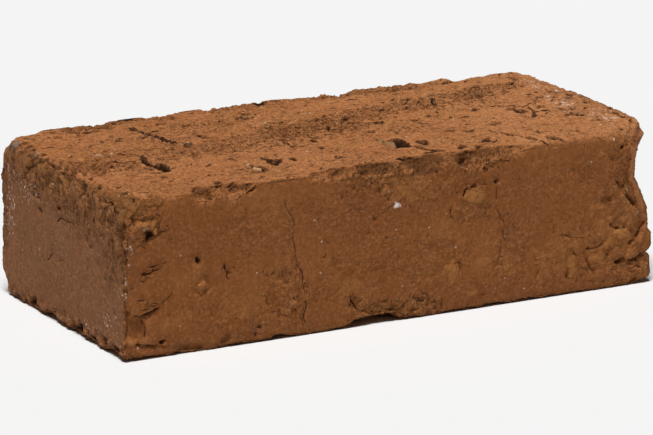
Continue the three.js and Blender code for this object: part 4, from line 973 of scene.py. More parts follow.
# ---- underside: dragged and pitted, never lower than the plane it lies on
bottom.crack([(-96, -22), (-88, -18), (-80, -20), (-70, -15)], 0.8, 1.0, 1.0)
bottom.crack([(30, 40), (34, 33), (33, 25), (36, 18), (34, 12)], 0.8, 1.1, 1.0)
bottom.crack([(70, -44), (78, -40), (85, -42)], 0.7, 0.8, 0.8)
bottom.ledge([(-40, 20), (-20, 24), (0, 22), (22, 25), (40, 22)], 0.5, 6, side=1)
bottom.ledge([(-110, -8), (-80, -4), (-50, -6), (-26, -2)], 0.5, 6, side=-1)
bottom.stone(-12, -28, 2.2, 3.0, 0.2, moat=1.0, shade=0.4)
bottom.stone(58, 12, 1.6, 1.4, 0.2, moat=0.8, shade=0.9)
_r = np.random.default_rng(SEED + 5)
for _ in range(46):
    a, b = _r.uniform(-112, 112), _r.uniform(-50, 50)
    s = _r.uniform(0.9, 2.4)
    bottom.pit(a, b, s, s * _r.uniform(0.5, 1.0), _r.uniform(0.6, 1.7), turn=_r.uniform(0, 180), wobble=0.4)
bottom.rough(-20, 0, 90, 22, 0.4)
bottom.rough(60, -20, 30, 20, 0.6)

# ---- small scattered pits and grit on every side
for side, n, lo, hi, dep, seed in ((top, 240, 0.55, 1.3, 0.85, 21), (front, 70, 0.35, 0.7, 0.4, 22), (left, 60, 0.35, 0.8, 0.45, 23),
                                   (back, 110, 0.35, 0.9, 0.5, 24), (right, 70, 0.35, 0.9, 0.5, 25), (bottom, 80, 0.5, 1.1, 0.6, 26)):
    r = np.random.default_rng(SEED + seed)
    la, lb = side.a.min(), side.b.min()
    ha, hb = side.a.max(), side.b.max()
    for _ in range(n):
        a, b = r.uniform(la, ha), r.uniform(lb, hb)
        s = r.uniform(lo, hi)
        side.pit(a, b, s, s * r.uniform(0.55, 1.0), dep * r.uniform(0.5, 1.2), turn=r.uniform(0, 180), wobble=0.35, open_=0.5)

r = np.random.default_rng(SEED + 31)
for side, n, wd, dp, st_ in ((top, 120, 0.5, 0.7, 0.75), (bottom, 50, 0.5, 0.6, 0.6), (front, 26, 0.3, 0.25, 0.35), (left, 22, 0.3, 0.3, 0.4),
                             (back, 50, 0.35, 0.35, 0.5), (right, 34, 0.35, 0.35, 0.5)):
    for _ in range(n):
        a, b = r.uniform(side.a.min() + 3, side.a.max() - 3), r.uniform(side.b.min() + 2, side.b.max() - 2)
        length = r.uniform(1.8, 6.5)
        turn = r.normal(0.1, 0.5) if side in (top, bottom) else r.uniform(0, math.pi)
        dx, dy = 0.5 * length * math.cos(turn), 0.5 * length * math.sin(turn)
        bend = r.normal(0, 0.14) * length
        side.crack([(a - dx, b - dy), (a - bend * dy / length, b + bend * dx / length), (a + dx, b + dy)], wd * r.uniform(0.6, 1.5), dp * r.uniform(0.5, 1.5),
                   st_ * r.uniform(0.6, 1.3), jitter=0.25, ends=0.35, seed=int(r.integers(1e6)))

# ------------------------------------------------------------------ grain of the clay
ROUGH = np.clip(ROUGH, 0, 1)
g_big = fbm(Q, 26, 3, seed=40)
g_mid = fbm(Q, 7.5, 3, seed=41)
g_small = fbm(Q, 3.0, 2, gain=0.6, seed=42)
g_fine = fbm(Q, 1.7, 2, gain=0.6, seed=43)
warp = np.stack([WOB, WOB2, -WOB], 1)


def mound(size, seed):
    d, tag = cells(Q + 0.22 * size * warp, size, seed)
    k = np.clip(0.8 - d, 0, 1) * (0.6 + 0.8 * tag)
    return (k - k.mean()) / k.std()


clods = mound(4.6, 2)  # rounded clods of clay
grains = mound(2.3, 3)  # sand
fold_lr = fbm(Q, 3.0, 3, seed=44, stretch=(1, 1.0, 4.5))  # dragged upwards on the headers
fold_fb = fbm(Q, 2.2, 2, seed=45, stretch=(1, 1, 7))
drag_top = fbm(Q, 5.0, 3, seed=46, stretch=(2.6, 1, 1))
drag_fine = fbm(Q, 2.3, 2, gain=0.7, seed=47, stretch=(2.2, 1, 1))

torn_v = fbm(Q + 0.8 * warp, 8.5, 4, gain=0.62, seed=48, stretch=(2.0, 1, 1))
flakes = terrace(torn_v * 1.5) + terrace(fbm(Q + 0.8 * warp, 5.0, 3, gain=0.6, seed=49, stretch=(1.6, 1, 1)) * 1.3)
flakes /= flakes.std()

patch = fbm(Q, 17, 3, seed=50, stretch=(1.5, 1, 1))
coarse = np.clip(0.75 + 0.4 * patch, 0.2, 1.5)  # some stretches are smeared, others grainy

H["top"] += 0.22 * g_big + 0.18 * g_mid + 0.10 * drag_top + coarse * (0.11 * g_small + 0.09 * g_fine + 0.07 * grains + 0.03 * clods + 0.07 * flakes + 0.08 * drag_fine)
H["top"] += ROUGH * (0.14 * clods + 0.16 * g_small + 0.28 * g_mid + 0.16 * g_fine + 0.20 * grains + 0.22 * flakes + 0.26 * drag_fine)
H["bottom"] += 0.16 * g_mid + 0.10 * g_small + 0.10 * drag_top + 0.08 * flakes + ROUGH * (0.2 * clods + 0.15 * g_small + 0.1 * grains + 0.15 * flakes)
for s in ("front", "back"):
    H[s] += 0.10 * g_big + 0.03 * g_mid + 0.02 * g_small + 0.03 * fold_fb + 0.02 * coarse * flakes
    H[s] += ROUGH * (0.12 * clods + 0.11 * g_small + 0.08 * g_fine + 0.16 * g_mid + 0.06 * grains + 0.17 * flakes)
band = smooth(Q[:, 2], 44, 62)
foot = smooth(Q[:, 2], 10, 3)
for s in ("left", "right"):
    H[s] += 0.16 * g_big + 0.10 * g_mid + 0.04 * g_small + 0.05 * fold_lr + 0.03 * coarse * flakes
    H[s] += band * (0.70 * fold_lr + 0.12 * g_small + 0.08 * grains) + foot * (0.14 * g_small + 0.08 * grains)
    H[s] += ROUGH * (0.12 * clods + 0.12 * g_small + 0.16 * fold_lr + 0.08 * g_fine + 0.07 * grains + 0.14 * flakes)

edge_torn = 1 - np.max(np.stack([W[s] for s in SIDES]), axis=0)  # 0 on a side, more round an edge

# flakes off the near upper edge: a steep ragged wall under a crisp rim, over a shallow floor
FLAKES = [  # x, how far in over the bed, how far down the front, how broken
    (-92.6, 2.0, 2.0, 0.0), (-91.2, 3.0, 3.0, 0.8), (-90.0, 4.8, 3.6, 1.0), (-86.6, 6.2, 4.4, 1.0), (-83.0, 5.6, 4.2, 1.0), (-79.0, 6.0, 4.4, 1.0),
    (-74.0, 5.0, 4.6, 1.0), (-70.0, 3.8, 4.4, 1.0), (-67.0, 2.6, 2.8, 1.0), (-65.2, 1.6, 1.6, 0.6), (-63.6, 1.2, 1.2, 0.0),
    (-40.0, 1.2, 1.2, 0.0), (-38.2, 3.4, 2.2, 0.8), (-36.8, 5.0, 2.6, 1.0), (-31.0, 5.2, 2.8, 1.0), (-27.4, 5.8, 3.6, 1.0), (-21.0, 5.6, 3.4, 1.0),
    (-18.2, 5.2, 2.2, 0.9), (-16.4, 6.0, 2.4, 0.9), (-15.4, 7.2, 3.6, 1.0), (-13.4, 8.0, 4.2, 1.0), (-10.0, 7.8, 4.4, 1.0), (-5.0, 7.0, 4.6, 1.0),
    (-1.4, 6.2, 3.8, 1.0), (0.4, 3.6, 2.4, 0.45), (2.7, 3.4, 2.4, 0.45), (3.5, 8.0, 5.4, 1.0), (6.0, 9.2, 6.4, 1.0), (10.3, 9.6, 6.8, 1.0),
    (14.0, 9.0, 6.8, 1.0), (19.0, 7.6, 5.8, 1.0), (22.4, 6.4, 3.8, 0.9), (26.0, 6.2, 3.0, 0.8), (30.7, 6.6, 3.8, 1.0), (34.0, 7.6, 5.2, 1.0),
    (36.8, 8.2, 5.6, 1.0), (41.0, 7.6, 5.6, 1.0), (45.0, 6.8, 5.8, 1.0), (49.5, 6.0, 4.6, 1.0), (54.0, 5.0, 3.0, 1.0), (58.0, 4.2, 2.2, 0.9),
    (62.0, 3.0, 2.0, 0.6), (66.0, 2.0, 2.0, 0.1), (68.0, 2.0, 2.0, 0.0)]
WALL_S = np.array([1.0, 0.93, 0.83, 0.70, 0.54, 0.35, 0.15, 0.0])
WALL_T = np.array([0.0, 0.13, 0.29, 0.48, 0.66, 0.82, 0.94, 1.0])
wall_run = np.concatenate([[0], np.cumsum(np.hypot(np.diff(WALL_S), np.diff(WALL_T)))])
wall_run /= wall_run[-1]
B, NB = Q.copy(), NRM.copy()
side_x = P0[:, 0]
prof = (P0[:, 1] + HY) - (HZ - P0[:, 2])
zone = np.nonzero(((np.abs(P0[:, 2] - HZ) < 1e-6) | (np.abs(P0[:, 1] + HY) < 1e-6)) & (np.abs(prof) < 16) & (side_x > -93) & (side_x < 69))[0]
zx = side_x[zone]
flake_t = np.array(FLAKES)
run_a = np.stack([zx, 0 * zx + 3.3, 0 * zx], 1)
n_in = 0.15 * fbm(run_a, 9, 4, gain=0.6, seed=71)
n_dn = 0.22 * fbm(run_a, 7, 4, gain=0.6, seed=72)
fl_in = np.interp(zx, flake_t[:, 0], flake_t[:, 1]) * np.clip(1 + n_in, 0.5, 1.5)
fl_dn = np.interp(zx, flake_t[:, 0], flake_t[:, 2]) * np.clip(1 + n_dn, 0.45, 1.6)
fl_k = np.interp(zx, flake_t[:, 0], flake_t[:, 3])
v = (fl_in - prof[zone]) / (fl_in + fl_dn)
hit = (v > 0) & (v < 1) & (fl_k > 0)
zone, v, fl_in, fl_dn, fl_k = zone[hit], v[hit], fl_in[hit], fl_dn[hit], fl_k[hit]
e = 0.02
s1, s0 = np.interp(v + e, wall_run, WALL_S), np.interp(v - e, wall_run, WALL_S)
t1, t0 = np.interp(v + e, wall_run, WALL_T), np.interp(v - e, wall_run, WALL_T)
ny, nz = -fl_dn * (t1 - t0), -fl_in * (s1 - s0)
ln = np.hypot(ny, nz) + 1e-6
new = np.stack([B[zone, 0], -HY + fl_in * np.interp(v, wall_run, WALL_S), 2 * HZ - fl_dn * np.interp(v, wall_run, WALL_T)], 1)
nn = np.stack([0 * ny, ny / ln, nz / ln], 1)
B[zone] += (new - B[zone]) * fl_k[:, None]
NB[zone] += (nn - NB[zone]) * fl_k[:, None]
NB /= np.linalg.norm(NB, axis=1, keepdims=True)
FLAKE = np.zeros(N, np.float32)  # 1 on a flake's broken face
FLAKE[zone] = fl_k * smooth(v, 0.0, 0.05) * smooth(v, 1.0, 0.8)
FLAKE_WALL = np.zeros(N, np.float32)
low = 0.24 * np.interp(zx[hit], (3, 6, 20, 24), (0, 1, 1, 0))
FLAKE_WALL[zone] = fl_k * smooth(v, 0.02, 0.12) * smooth(v, 0.72 + low, 0.42 + 1.4 * low)
W = {s: np.clip(NB[:, a] * sg, 0, 1) ** 2 for s, (a, sg) in AXIS.items()}

relief = sum(W[s] * H[s] for s in SIDES)
# the far edges are cleaner, and so is the near one away from its flakes
NEAR_TORN = [(-125, 0.8), (-105, 0.6), (-98, 0.35), (-92, 0.35), (-63, 0.25), (-40, 0.25), (-38, 0.5), (62, 0.5), (68, 0.22), (100, 0.2), (125, 0.35)]
by_near = np.exp(-((Q[:, 1] + HY) ** 2 + (Q[:, 2] - 2 * HZ) ** 2) / 50)
crisp = (1 - 0.80 * smooth(Q[:, 1], 40, 56)) * (1 - 0.5 * smooth(Q[:, 0], 100, 120))
crisp = crisp * (1 - by_near) + lerp_table(Q[:, 0], NEAR_TORN) * by_near
relief += FLAKE * (0.16 * g_mid + 0.18 * g_small + 0.12 * g_fine + 0.18 * clods + 0.12 * grains + 0.18 * flakes)
relief += np.clip(edge_torn * 2, 0, 1) * crisp * (0.20 * g_mid + 0.22 * g_small + 0.13 * g_fine + 0.20 * clods + 0.12 * grains + 0.2 * flakes - 0.12)
GRAINY = ((W["top"] + W["bottom"]) * (0.30 + 0.08 * patch + 0.60 * ROUGH) + (W["front"] + W["back"]) * (0.06 + 0.04 * patch + 0.55 * ROUGH)
          + (W["left"] + W["right"]) * (0.12 + 0.05 * patch + 0.28 * ROUGH + 0.14 * band) + 0.30 * np.clip(edge_torn * 2, 0, 1) * crisp)
GRAINY = np.clip(np.maximum(GRAINY, 0.34 * FLAKE), 0, 1)
# painted shade on the broken walls of the flakes, its strength listed by x
FLAKE_SHADE_BY_X = [(-93, 0.5), (-90, 0.95), (-87, 0.8), (-83, 0.45), (-76, 0.5), (-70, 0.9), (-66, 0.9), (-64, 0.3), (-40, 0.3), (-34, 0.5), (-28, 0.45), (-25, 0.8), (-17, 0.75),
        (-14.5, 0.95), (-2, 1.0), (1, 0.9), (2.6, 0.25), (6.4, 0.3), (7.6, 1.1), (22, 1.1), (25, 0.5), (29, 0.7), (36, 0.9), (42, 0.75), (48, 0.8), (56, 0.55), (66, 0.3)]
FLAKE_SHADE = FLAKE_WALL * lerp_table(side_x, FLAKE_SHADE_BY_X) * np.clip(1.0 + 0.35 * WOB, 0.5, 1.15)
MASK["open"] = np.maximum(MASK["open"], FLAKE_SHADE)
MASK["olive"] = np.maximum(MASK["olive"], 0.25 * FLAKE)

# ------------------------------------------------------------------ how the outline wanders
FOOT_FRONT = [(-126, 1.7), (-118, 1.2), (-110, 0.9), (-100, 0.8), (-95, 0.6), (-88, 0.3), (-80, 0.4), (-70, 0.9), (-62, 0.6), (-58, 0.8), (-57, 1.9),
              (-53, 1.9), (-46, 0.7), (-43, 0.3), (-35, 0.1), (-30, 0.4), (-23, 0.6), (-21, 1.5), (-19, 3.1), (-14, 3.3), (-8, 3.8), (-4, 3.6),
              (0, 3.1), (2, 1.4), (5, 0.8), (10, 0.6), (20, 0.4), (26, 0.7), (40, 0.7), (46, 1.3), (52, 1.0), (58, 0.6), (62, 1.1), (70, 0.8),
              (80, 0.4), (90, 0.3), (100, 0.1), (112, 0.1), (116, 0.2), (119, 1.0), (122, 1.5), (126, 2.5)]
FOOT_FRONT = [(a, max(0.0, b - 0.25)) for a, b in FOOT_FRONT]
FOOT_LEFT = [(-60, 1.7), (-56, 1.0), (-52, 1.0), (-51, 1.6), (-49, 1.6), (-47, 2.2), (-42, 1.8), (-38, 0.8), (-30, 0.9), (-25, 1.4), (-20, 1.0), (-10, 0.9),
             (-5, 0.7), (-3, 1.4), (0, 1.3), (5, 1.2), (6, 1.4), (8, 2.8), (10, 2.2), (12, 2.4), (15, 2.6), (18, 0.7), (24, 0.8), (29, 0.4), (35, 0.1),
             (40, 0.3), (45, 0.6), (50, 0.2), (56, 0.6), (60, 1.0)]
BACK_TOP = [(-125, -1.2), (-122, -0.8), (-115, -0.8), (-108.5, -0.2), (-105.5, 1.0), (-100, 0.8), (-95, 0.3), (-87, 0.3), (-80, 0.0), (-78.5, -0.7), (-77, -0.6), (-75, 0.8),
            (-72, 1.4), (-63, 1.8), (-60, 1.2), (-57, 0.2), (-48, -0.2), (-42, 0.4), (-37, 1.4), (-32, 1.3), (-30, 0.1), (-20, -0.2), (-14, 0.4), (-10, 0.9),
            (-7, 0.0), (-3, 0.3), (0, 0.8), (5, 0.3), (10, 0.1), (20, -0.1), (24, -0.9), (35, -1.5), (40, -0.9), (42, -0.2), (43, 0.1), (48, 0.0), (60, -0.1),
            (73, -0.5), (79, -1.3), (84, -0.9), (86, -0.6), (88.5, -0.8), (90, -2.2), (93, -2.4), (97, -2.2), (102, -1.6), (110, -1.4), (116, -1.2), (118, -1.6),
            (121, -1.6), (125, -1.6)]
RIGHT_TOP = [(-60, 0.0), (-48, 0.3), (-40, 1.2), (-30, 1.5), (-12, 1.5), (4, 1.4), (14, 0.7), (24, 0.2), (59, 0.0)]
PINCH = [(0, 3.4), (0.8, 2.6), (2.5, 0.9), (7, 0.6), (11, 0.9), (13.3, 2.6), (15.6, 0.4), (22, 0.4), (23.6, 2.2), (25.5, 1.9), (28, 2.4), (33, 2.5),
         (37, 4.2), (41, 6.0), (45, 7.6), (46.5, 8.8), (50, 8.5), (55, 7.9), (59, 6.8), (63, 4.9), (66.5, 3.6), (68, 3.0)]
LEFT_FAR = [(0, 4.4), (2, 4.4), (6, 3.9), (8, 1.9), (10, 0.2), (19, -0.4), (40, 0.0), (48, 0.0), (68, 0.0)]

D = B + NB * relief[:, None]
x, y, z = Q[:, 0], Q[:, 1], Q[:, 2]


def cut(n, point, soft=1.2, amp=0.6, seed=60, where=None, rough=0.0):
    """Breaks the clay off along a plane; n points out of the brick."""
    global D
    n = np.asarray(n, float)
    n = n / np.linalg.norm(n)
    h = (D - np.asarray(point, float)) @ n + amp * (0.35 * fbm(Q, 6, 3, seed=seed) + 0.15 * g_small + rough * (0.2 * clods + 0.2 * flakes))
    over = 0.5 * (h + np.sqrt(h * h + soft * soft)) - 0.5 * soft * np.exp(-np.abs(h) / soft)
    over = np.clip(np.where(h > -3 * soft, over, 0), 0, None)
    if where is not None:
        over = over * where
    D = D - n * over[:, None]
    return smooth(over, 0.3, 1.6)


# near top corner broken away: a steep facet round to the front, another along the top of the header
f1 = cut((-0.68, -0.24, 0.69), (-116.9, -48, 67.7), soft=1.2, amp=0.9, seed=61, rough=0.35)
f2 = cut((-0.37, -0.03, 0.93), (-118.0, -36, 67.6), soft=1.0, amp=0.9, seed=64, where=smooth(y, -20, -30), rough=0.7)
f4 = cut((-0.10, -0.93, 0.36), (-110, -56.8, 67.6), soft=1.0, amp=0.9, seed=65, where=smooth(x, -101, -107), rough=0.3)
# right front top corner worn to a shoulder
f3 = cut((0.34, -0.52, 0.78), (104, -59, 66.5), soft=2.2, amp=0.8, seed=62)
# far left top corner worn off
f5 = cut((-0.88, 0.315, 0.353), (-121.6, 58.6, 68), soft=1.6, amp=0.5, seed=66)
broken = np.maximum(np.maximum(f1, f4), 0.7 * f2)
GRAINY = np.maximum(GRAINY, 0.45 * broken)
MASK["olive"] = np.maximum(MASK["olive"], broken)
# far left foot
under = smooth(z, 8, 0)
lift_front = lerp_table(x, FOOT_FRONT)
lift_front = lift_front * np.exp(-((y + HY) / (5.0 + 8.0 * smooth(lift_front, 1.2, 2.8))) ** 2)
lift_left = lerp_table(y, FOOT_LEFT) * np.exp(-((x + HX) / 5.0) ** 2)
D[:, 2] += np.maximum(lift_front, lift_left) * under
D[:, 2] += lerp_table(y, RIGHT_TOP) * np.exp(-((HX - x) / 9.0) ** 2) * smooth(z, 50, 66)
D[:, 0] += 0.35 * lerp_table(y, RIGHT_TOP) * smooth(x, HX - 8, HX) * smooth(z, 56, 66)
D[:, 2] += lerp_table(x, BACK_TOP) * np.exp(-((HY - y) / 6.5) ** 2) * smooth(z, 50, 66)
al_y = smooth(y, -HY + 30 - 14 * smooth(z, 50, 62), -HY)
al_x = smooth(x, HX - 24, HX)
D[:, 0] -= np.interp(D[:, 2], *np.array(PINCH).T) * al_y * al_x
D[:, 1] -= np.interp(z, *np.array(LEFT_FAR).T) * smooth(y, HY - 14, HY) * smooth(x, -HX + 30, -HX)


def scoop(at, size, depth, direction, power=1.5, wobble=0.35):
    """A hollow knocked out of an edge or corner."""
    global D
    q = (Q - np.asarray(at, float)) / np.asarray(size, float)
    d = np.sqrt((q * q).sum(1)) + wobble * WOB
    k = np.clip(1 - d * d, 0, 1) ** power
    v = np.asarray(direction, float)
    D = D + (v / np.linalg.norm(v))[None, :] * (depth * k)[:, None]
    # painted shade in the hollow
    MASK["open"][:] = np.maximum(MASK["open"], 0.35 * np.clip(k * 2, 0, 1))



scoop((-126.5, -55.0, 48), (3.6, 3.8, 8.5), 1.3, (1, 0.1, 0), 1.0)
scoop((-125, -59, 54), (3.6, 4.2, 6.5), 1.1, (0.7, 0.6, 0), 1.2)
scoop((126, 50, 67), (8, 9, 9), 0.8, (-0.7, 0, -0.7), 1.3)

# stays inside the envelope of the real block


def knee(d, k=3.2):
    """Depth under the envelope, eased so that proud places keep their shape."""
    return np.logaddexp(0, k * d) / k


sunk_x = 0.45 * smooth(np.abs(x), HX - 9, HX - 1)
sunk_y = 0.50 * smooth(np.abs(y), HY - 9, HY - 1)
D[:, 0] = np.sign(x) * (HX - 0.02 - knee(HX - np.sign(x) * D[:, 0] + sunk_x - 0.1))
D[:, 1] = np.sign(y) * (HY - 0.02 - knee(HY - np.sign(y) * D[:, 1] + sunk_y - 0.1))
lowered = 0.55 * smooth(D[:, 2], 20, 66) * (1 - 0.6 * smooth(y, -10, 54))  # the bed's mean level lies just under its highest lips
D[:, 2] -= lowered
D[:, 2] = np.where(D[:, 2] > 67.6, 67.6 + 0.39 * np.tanh((D[:, 2] - 67.6) / 0.39), D[:, 2])
D[:, 2] = np.clip(D[:, 2], 0.0, 2 * HZ - 0.02)

# ------------------------------------------------------------------ hollow and proud places, for painted shade in the hollows and lighter proud places in the finish
edges = np.concatenate([quads[:, [0, 1]], quads[:, [1, 2]], quads[:, [2, 3]], quads[:, [3, 0]]])
deg = np.bincount(edges.ravel(), minlength=N).astype(np.float32)


def relax(v, times):
    for _ in range(times):
        s = np.bincount(edges[:, 0], v[edges[:, 1]], N) + np.bincount(edges[:, 1], v[edges[:, 0]], N)
        v = s / deg
    return v


rl = np.einsum("ij,ij->i", D - B, NB)
times = int(8.5 / STEP ** 2) + 2
hollow = relax(rl, times) - rl  # mm below the local mean
CAVITY = (np.clip(hollow / 1.1, -1, 1) * (1 - 0.6 * FLAKE) * (1 - 0.5 * broken)).astype(np.float32)

# ------------------------------------------------------------------ mesh
mesh = bpy.data.meshes.new("brick_body")
coords = (D / 1000.0).astype(np.float32)
mesh.vertices.add(N)
mesh.vertices.foreach_set("co", coords.ravel())
nq = len(quads)
mesh.loops.add(nq * 4)
mesh.loops.foreach_set("vertex_index", quads.ravel().astype(np.int32))
mesh.polygons.add(nq)
mesh.polygons.foreach_set("loop_start", (np.arange(nq) * 4).astype(np.int32))
mesh.polygons.foreach_set("loop_total", np.full(nq, 4, np.int32))
mesh.update(calc_edges=True)

# one island for each side, laid out in a square
GAP = 1.6
ISLAND = {"top": (0, 0), "bottom": (0, 118 + GAP), "front": (0, 2 * (118 + GAP)), "back": (0, 2 * (118 + GAP) + 68 + GAP),
          "left": (250 + GAP, 0), "right": (250 + GAP, 68 + GAP)}
SPAN = 2 * (118 + GAP) + 2 * (68 + GAP) + 2
uv = np.zeros((nq * 4, 2), np.float32)
corner = quads.ravel()
side_loop = np.repeat(side_of_quad, 4)
for n, s in enumerate(SIDES):
    m = side_loop == n
    v = corner[m]
    a = P0[v, 1] + HY if s in ("left", "right") else P0[v, 0] + HX
    b = P0[v, 1] + HY if s in ("top", "bottom") else P0[v, 2] + HZ
    if s in ("bottom", "back", "left"):
        a = (2 * HY if s == "left" else 2 * HX) - a
    uv[m, 0] = (ISLAND[s][0] + 0.8 + a) / SPAN
    uv[m, 1] = (ISLAND[s][1] + 0.8 + b) / SPAN
layer = mesh.uv_layers.new(name="OFBake")
layer.data.foreach_set("uv", uv.ravel())

# the right part of the bed is smoother, so the painted shade round its pits is narrower there
PIT_S -= (0.42 * smooth(P0[:, 0], 40.0, 62.0) * smooth(P0[:, 2], HZ - 8.0, HZ - 5.0)).astype(np.float32)

for name, values in (("crack_side", CRK_S), ("crack_force", CRK_W), ("pit_side", PIT_S), ("hollow", CAVITY), ("torn", GRAINY), ("ochre", MASK["ochre"]), ("salt", MASK["salt"]),
                     ("stain_and_shade", MASK["stain_and_shade"]), ("grit", MASK["stone"]), ("open", MASK["open"]), ("slate", MASK["slate"]), ("olive", MASK["olive"]),
                     ("bedside", W["top"] + W["bottom"]), ("header", W["left"] + W["right"]), ("round", np.clip(edge_torn * 2, 0, 1))):
    at = mesh.attributes.new(name, "FLOAT", "POINT")
    at.data.foreach_set("value", np.asarray(values, np.float32))

mesh.validate()
brick = bpy.data.objects.new("brick_body", mesh)
bpy.context.scene.collection.objects.link(brick)

tris = nq * 2
if tris > TARGET_TRIS:
    bpy.context.view_layer.objects.active = brick
    brick.select_set(True)
    mod = brick.modifiers.new("thin", "DECIMATE")
    mod.ratio = TARGET_TRIS / tris
    mod.use_collapse_triangulate = True
    bpy.ops.object.modifier_apply(modifier=mod.name)
    mesh = brick.data
co = np.empty(len(mesh.vertices) * 3, np.float32)
mesh.vertices.foreach_get("co", co)
co = co.reshape(-1, 3)
co = np.clip(co, np.array([-HX + 0.01, -HY + 0.01, 0.0]) / 1000, np.array([HX - 0.01, HY - 0.01, 2 * HZ - 0.01]) / 1000)
mesh.vertices.foreach_set("co", co.ravel().astype(np.float32))
mesh.polygons.foreach_set("use_smooth", np.ones(len(mesh.polygons), bool))
mesh.update()
print("brick faces", len(mesh.polygons), "verts", len(mesh.vertices))

# ------------------------------------------------------------------ fired clay
mat = bpy.data.materials.new("fired_clay")
mat.use_nodes = True
nt = mat.node_tree
nt.nodes.clear()


def node(kind, **inputs):
    n = nt.nodes.new(kind)
    for k, v in inputs.items():
        if k in n.inputs:
            n.inputs[k].default_value = v
        else:
            setattr(n, k, v)
    return n


def link(a, b):
    nt.links.new(a, b)


def attr(name):
    n = nt.nodes.new("ShaderNodeAttribute")
    n.attribute_name = name
    return n.outputs["Fac"]


def math_(op, a, b=None, c=None, clamp=False):
    n = nt.nodes.new("ShaderNodeMath")
    n.operation = op
    n.use_clamp = clamp
    for i, v in enumerate((a, b, c)):
        if v is None:
            continue
        if isinstance(v, (int, float)):
            n.inputs[i].default_value = v
        else:
            link(v, n.inputs[i])
    return n.outputs[0]


def ramp(fac, a, b, lo=0.0, hi=1.0):
    n = nt.nodes.new("ShaderNodeMapRange")
    n.interpolation_type = "SMOOTHSTEP"
    link(fac, n.inputs["Value"])
    n.inputs["From Min"].default_value = a
    n.inputs["From Max"].default_value = b
    n.inputs["To Min"].default_value = lo
    n.inputs["To Max"].default_value = hi
    return n.outputs["Result"]


def mix(fac, a, b, mode="MIX"):
    n = nt.nodes.new("ShaderNodeMix")
    n.data_type = "RGBA"
    n.blend_type = mode
    n.clamp_factor = True
    if isinstance(fac, (int, float)):
        n.inputs[0].default_value = fac
    else:
        link(fac, n.inputs[0])
    for i, v in ((6, a), (7, b)):
        if isinstance(v, tuple):
            n.inputs[i].default_value = (*v, 1)
        else:
            link(v, n.inputs[i])
    return n.outputs[2]


coord = nt.nodes.new("ShaderNodeTexCoord").outputs["Object"]


def noise(size_mm, detail=3.0, rough=0.55, stretch=None, distortion=0.0):
    """Noise whose lumps are about size_mm across. Returns its 0 to 1 value."""
    v = coord
    if stretch:
        m = nt.nodes.new("ShaderNodeMapping")
        m.inputs["Scale"].default_value = stretch
        link(coord, m.inputs["Vector"])
        v = m.outputs[0]
    n = nt.nodes.new("ShaderNodeTexNoise")
    n.inputs["Scale"].default_value = 1000.0 / size_mm
    n.inputs["Detail"].default_value = detail
    n.inputs["Roughness"].default_value = rough
    n.inputs["Distortion"].default_value = distortion
    link(v, n.inputs["Vector"])
    return n.outputs["Fac"]


def spots(size_mm, random=1.0):
    n = nt.nodes.new("ShaderNodeTexVoronoi")
    n.inputs["Scale"].default_value = 1000.0 / size_mm
    n.inputs["Randomness"].default_value = random
    link(coord, n.inputs["Vector"])
    return n.outputs["Distance"], n.outputs["Color"]


a_hollow, a_torn, a_open = attr("hollow"), attr("torn"), attr("open")
a_ochre, a_salt, a_stain_and_shade, a_grit = attr("ochre"), attr("salt"), attr("stain_and_shade"), attr("grit")
a_olive, a_slate = attr("olive"), attr("slate")
a_bed, a_head, a_round = attr("bedside"), attr("header"), attr("round")
a_cs, a_cf, a_ps = attr("crack_side"), attr("crack_force"), attr("pit_side")
a_flat = math_("SUBTRACT", 1.0, math_("ADD", a_bed, a_head), clamp=True)

n_cloud = noise(38, 4, 0.6)
n_patch = noise(11, 5, 0.62, distortion=0.4)
n_mottle = noise(3.2, 5, 0.65)
n_grain = noise(1.25, 3, 0.62)
n_sand = noise(2.4, 4, 0.66)
n_dust = noise(0.45, 2, 0.6)
n_bed = noise(1.5, 3, 0.7, stretch=(1.25, 0.62, 1))
n_streak = noise(1.5, 3, 0.6, stretch=(1, 1, 0.10))
n_dash = noise(2.0, 3, 0.6, stretch=(0.42, 1, 1))
# where the clay is torn rather than smoothed
torn = a_torn
# little steps: a smooth height cut into ledges
tear = noise(5.0, 5, 0.66, stretch=(0.55, 1, 1), distortion=0.5)
tear_v = math_("MULTIPLY", tear, 9.0)
tear_f = math_("FRACT", tear_v)
tear_e = ramp(tear_f, 0.70, 1.0)
tear_h = math_("MULTIPLY", math_("ADD", math_("FLOOR", tear_v), tear_e), 1 / 9.0)
riser = math_("MULTIPLY", math_("MULTIPLY", tear_e, math_("SUBTRACT", 1.0, tear_e)), 4.0)
pv, pc = spots(1.9)
pore = math_("MULTIPLY", ramp(pv, 0.32, 0.16), ramp(n_mottle, 0.47, 0.58))


def by(k, lo, src=None):
    """Strength that grows from lo where smooth to lo + k where torn."""
    return math_("ADD", math_("MULTIPLY", torn if src is None else src, k), lo)


torn_d = math_("MULTIPLY", torn, math_("ADD", math_("MULTIPLY", a_bed, 0.55), 0.35))
CLAY_A = (0.330, 0.121, 0.037)
CLAY_B = (0.292, 0.104, 0.030)
CLAY_C = (0.372, 0.143, 0.047)
base = mix(ramp(n_patch, 0.38, 0.64), CLAY_B, CLAY_A)
base = mix(ramp(n_cloud, 0.45, 0.70, 0, 0.60), base, CLAY_C)
n_hue = noise(23, 3, 0.6, distortion=0.6)
calm = math_("SUBTRACT", 1.0, math_("MULTIPLY", a_flat, 0.5))
base = mix(math_("MULTIPLY", ramp(n_hue, 0.50, 0.68, 0, 0.28), calm), base, (0.302, 0.124, 0.038))
base = mix(math_("MULTIPLY", ramp(n_hue, 0.48, 0.32, 0, 0.35), calm), base, (0.318, 0.102, 0.032))
base = mix(math_("MULTIPLY", ramp(n_mottle, 0.51, 0.68, 0, 0.13), math_("SUBTRACT", 1.0, math_("MULTIPLY", a_flat, 0.6))), base, (0.215, 0.074, 0.022))
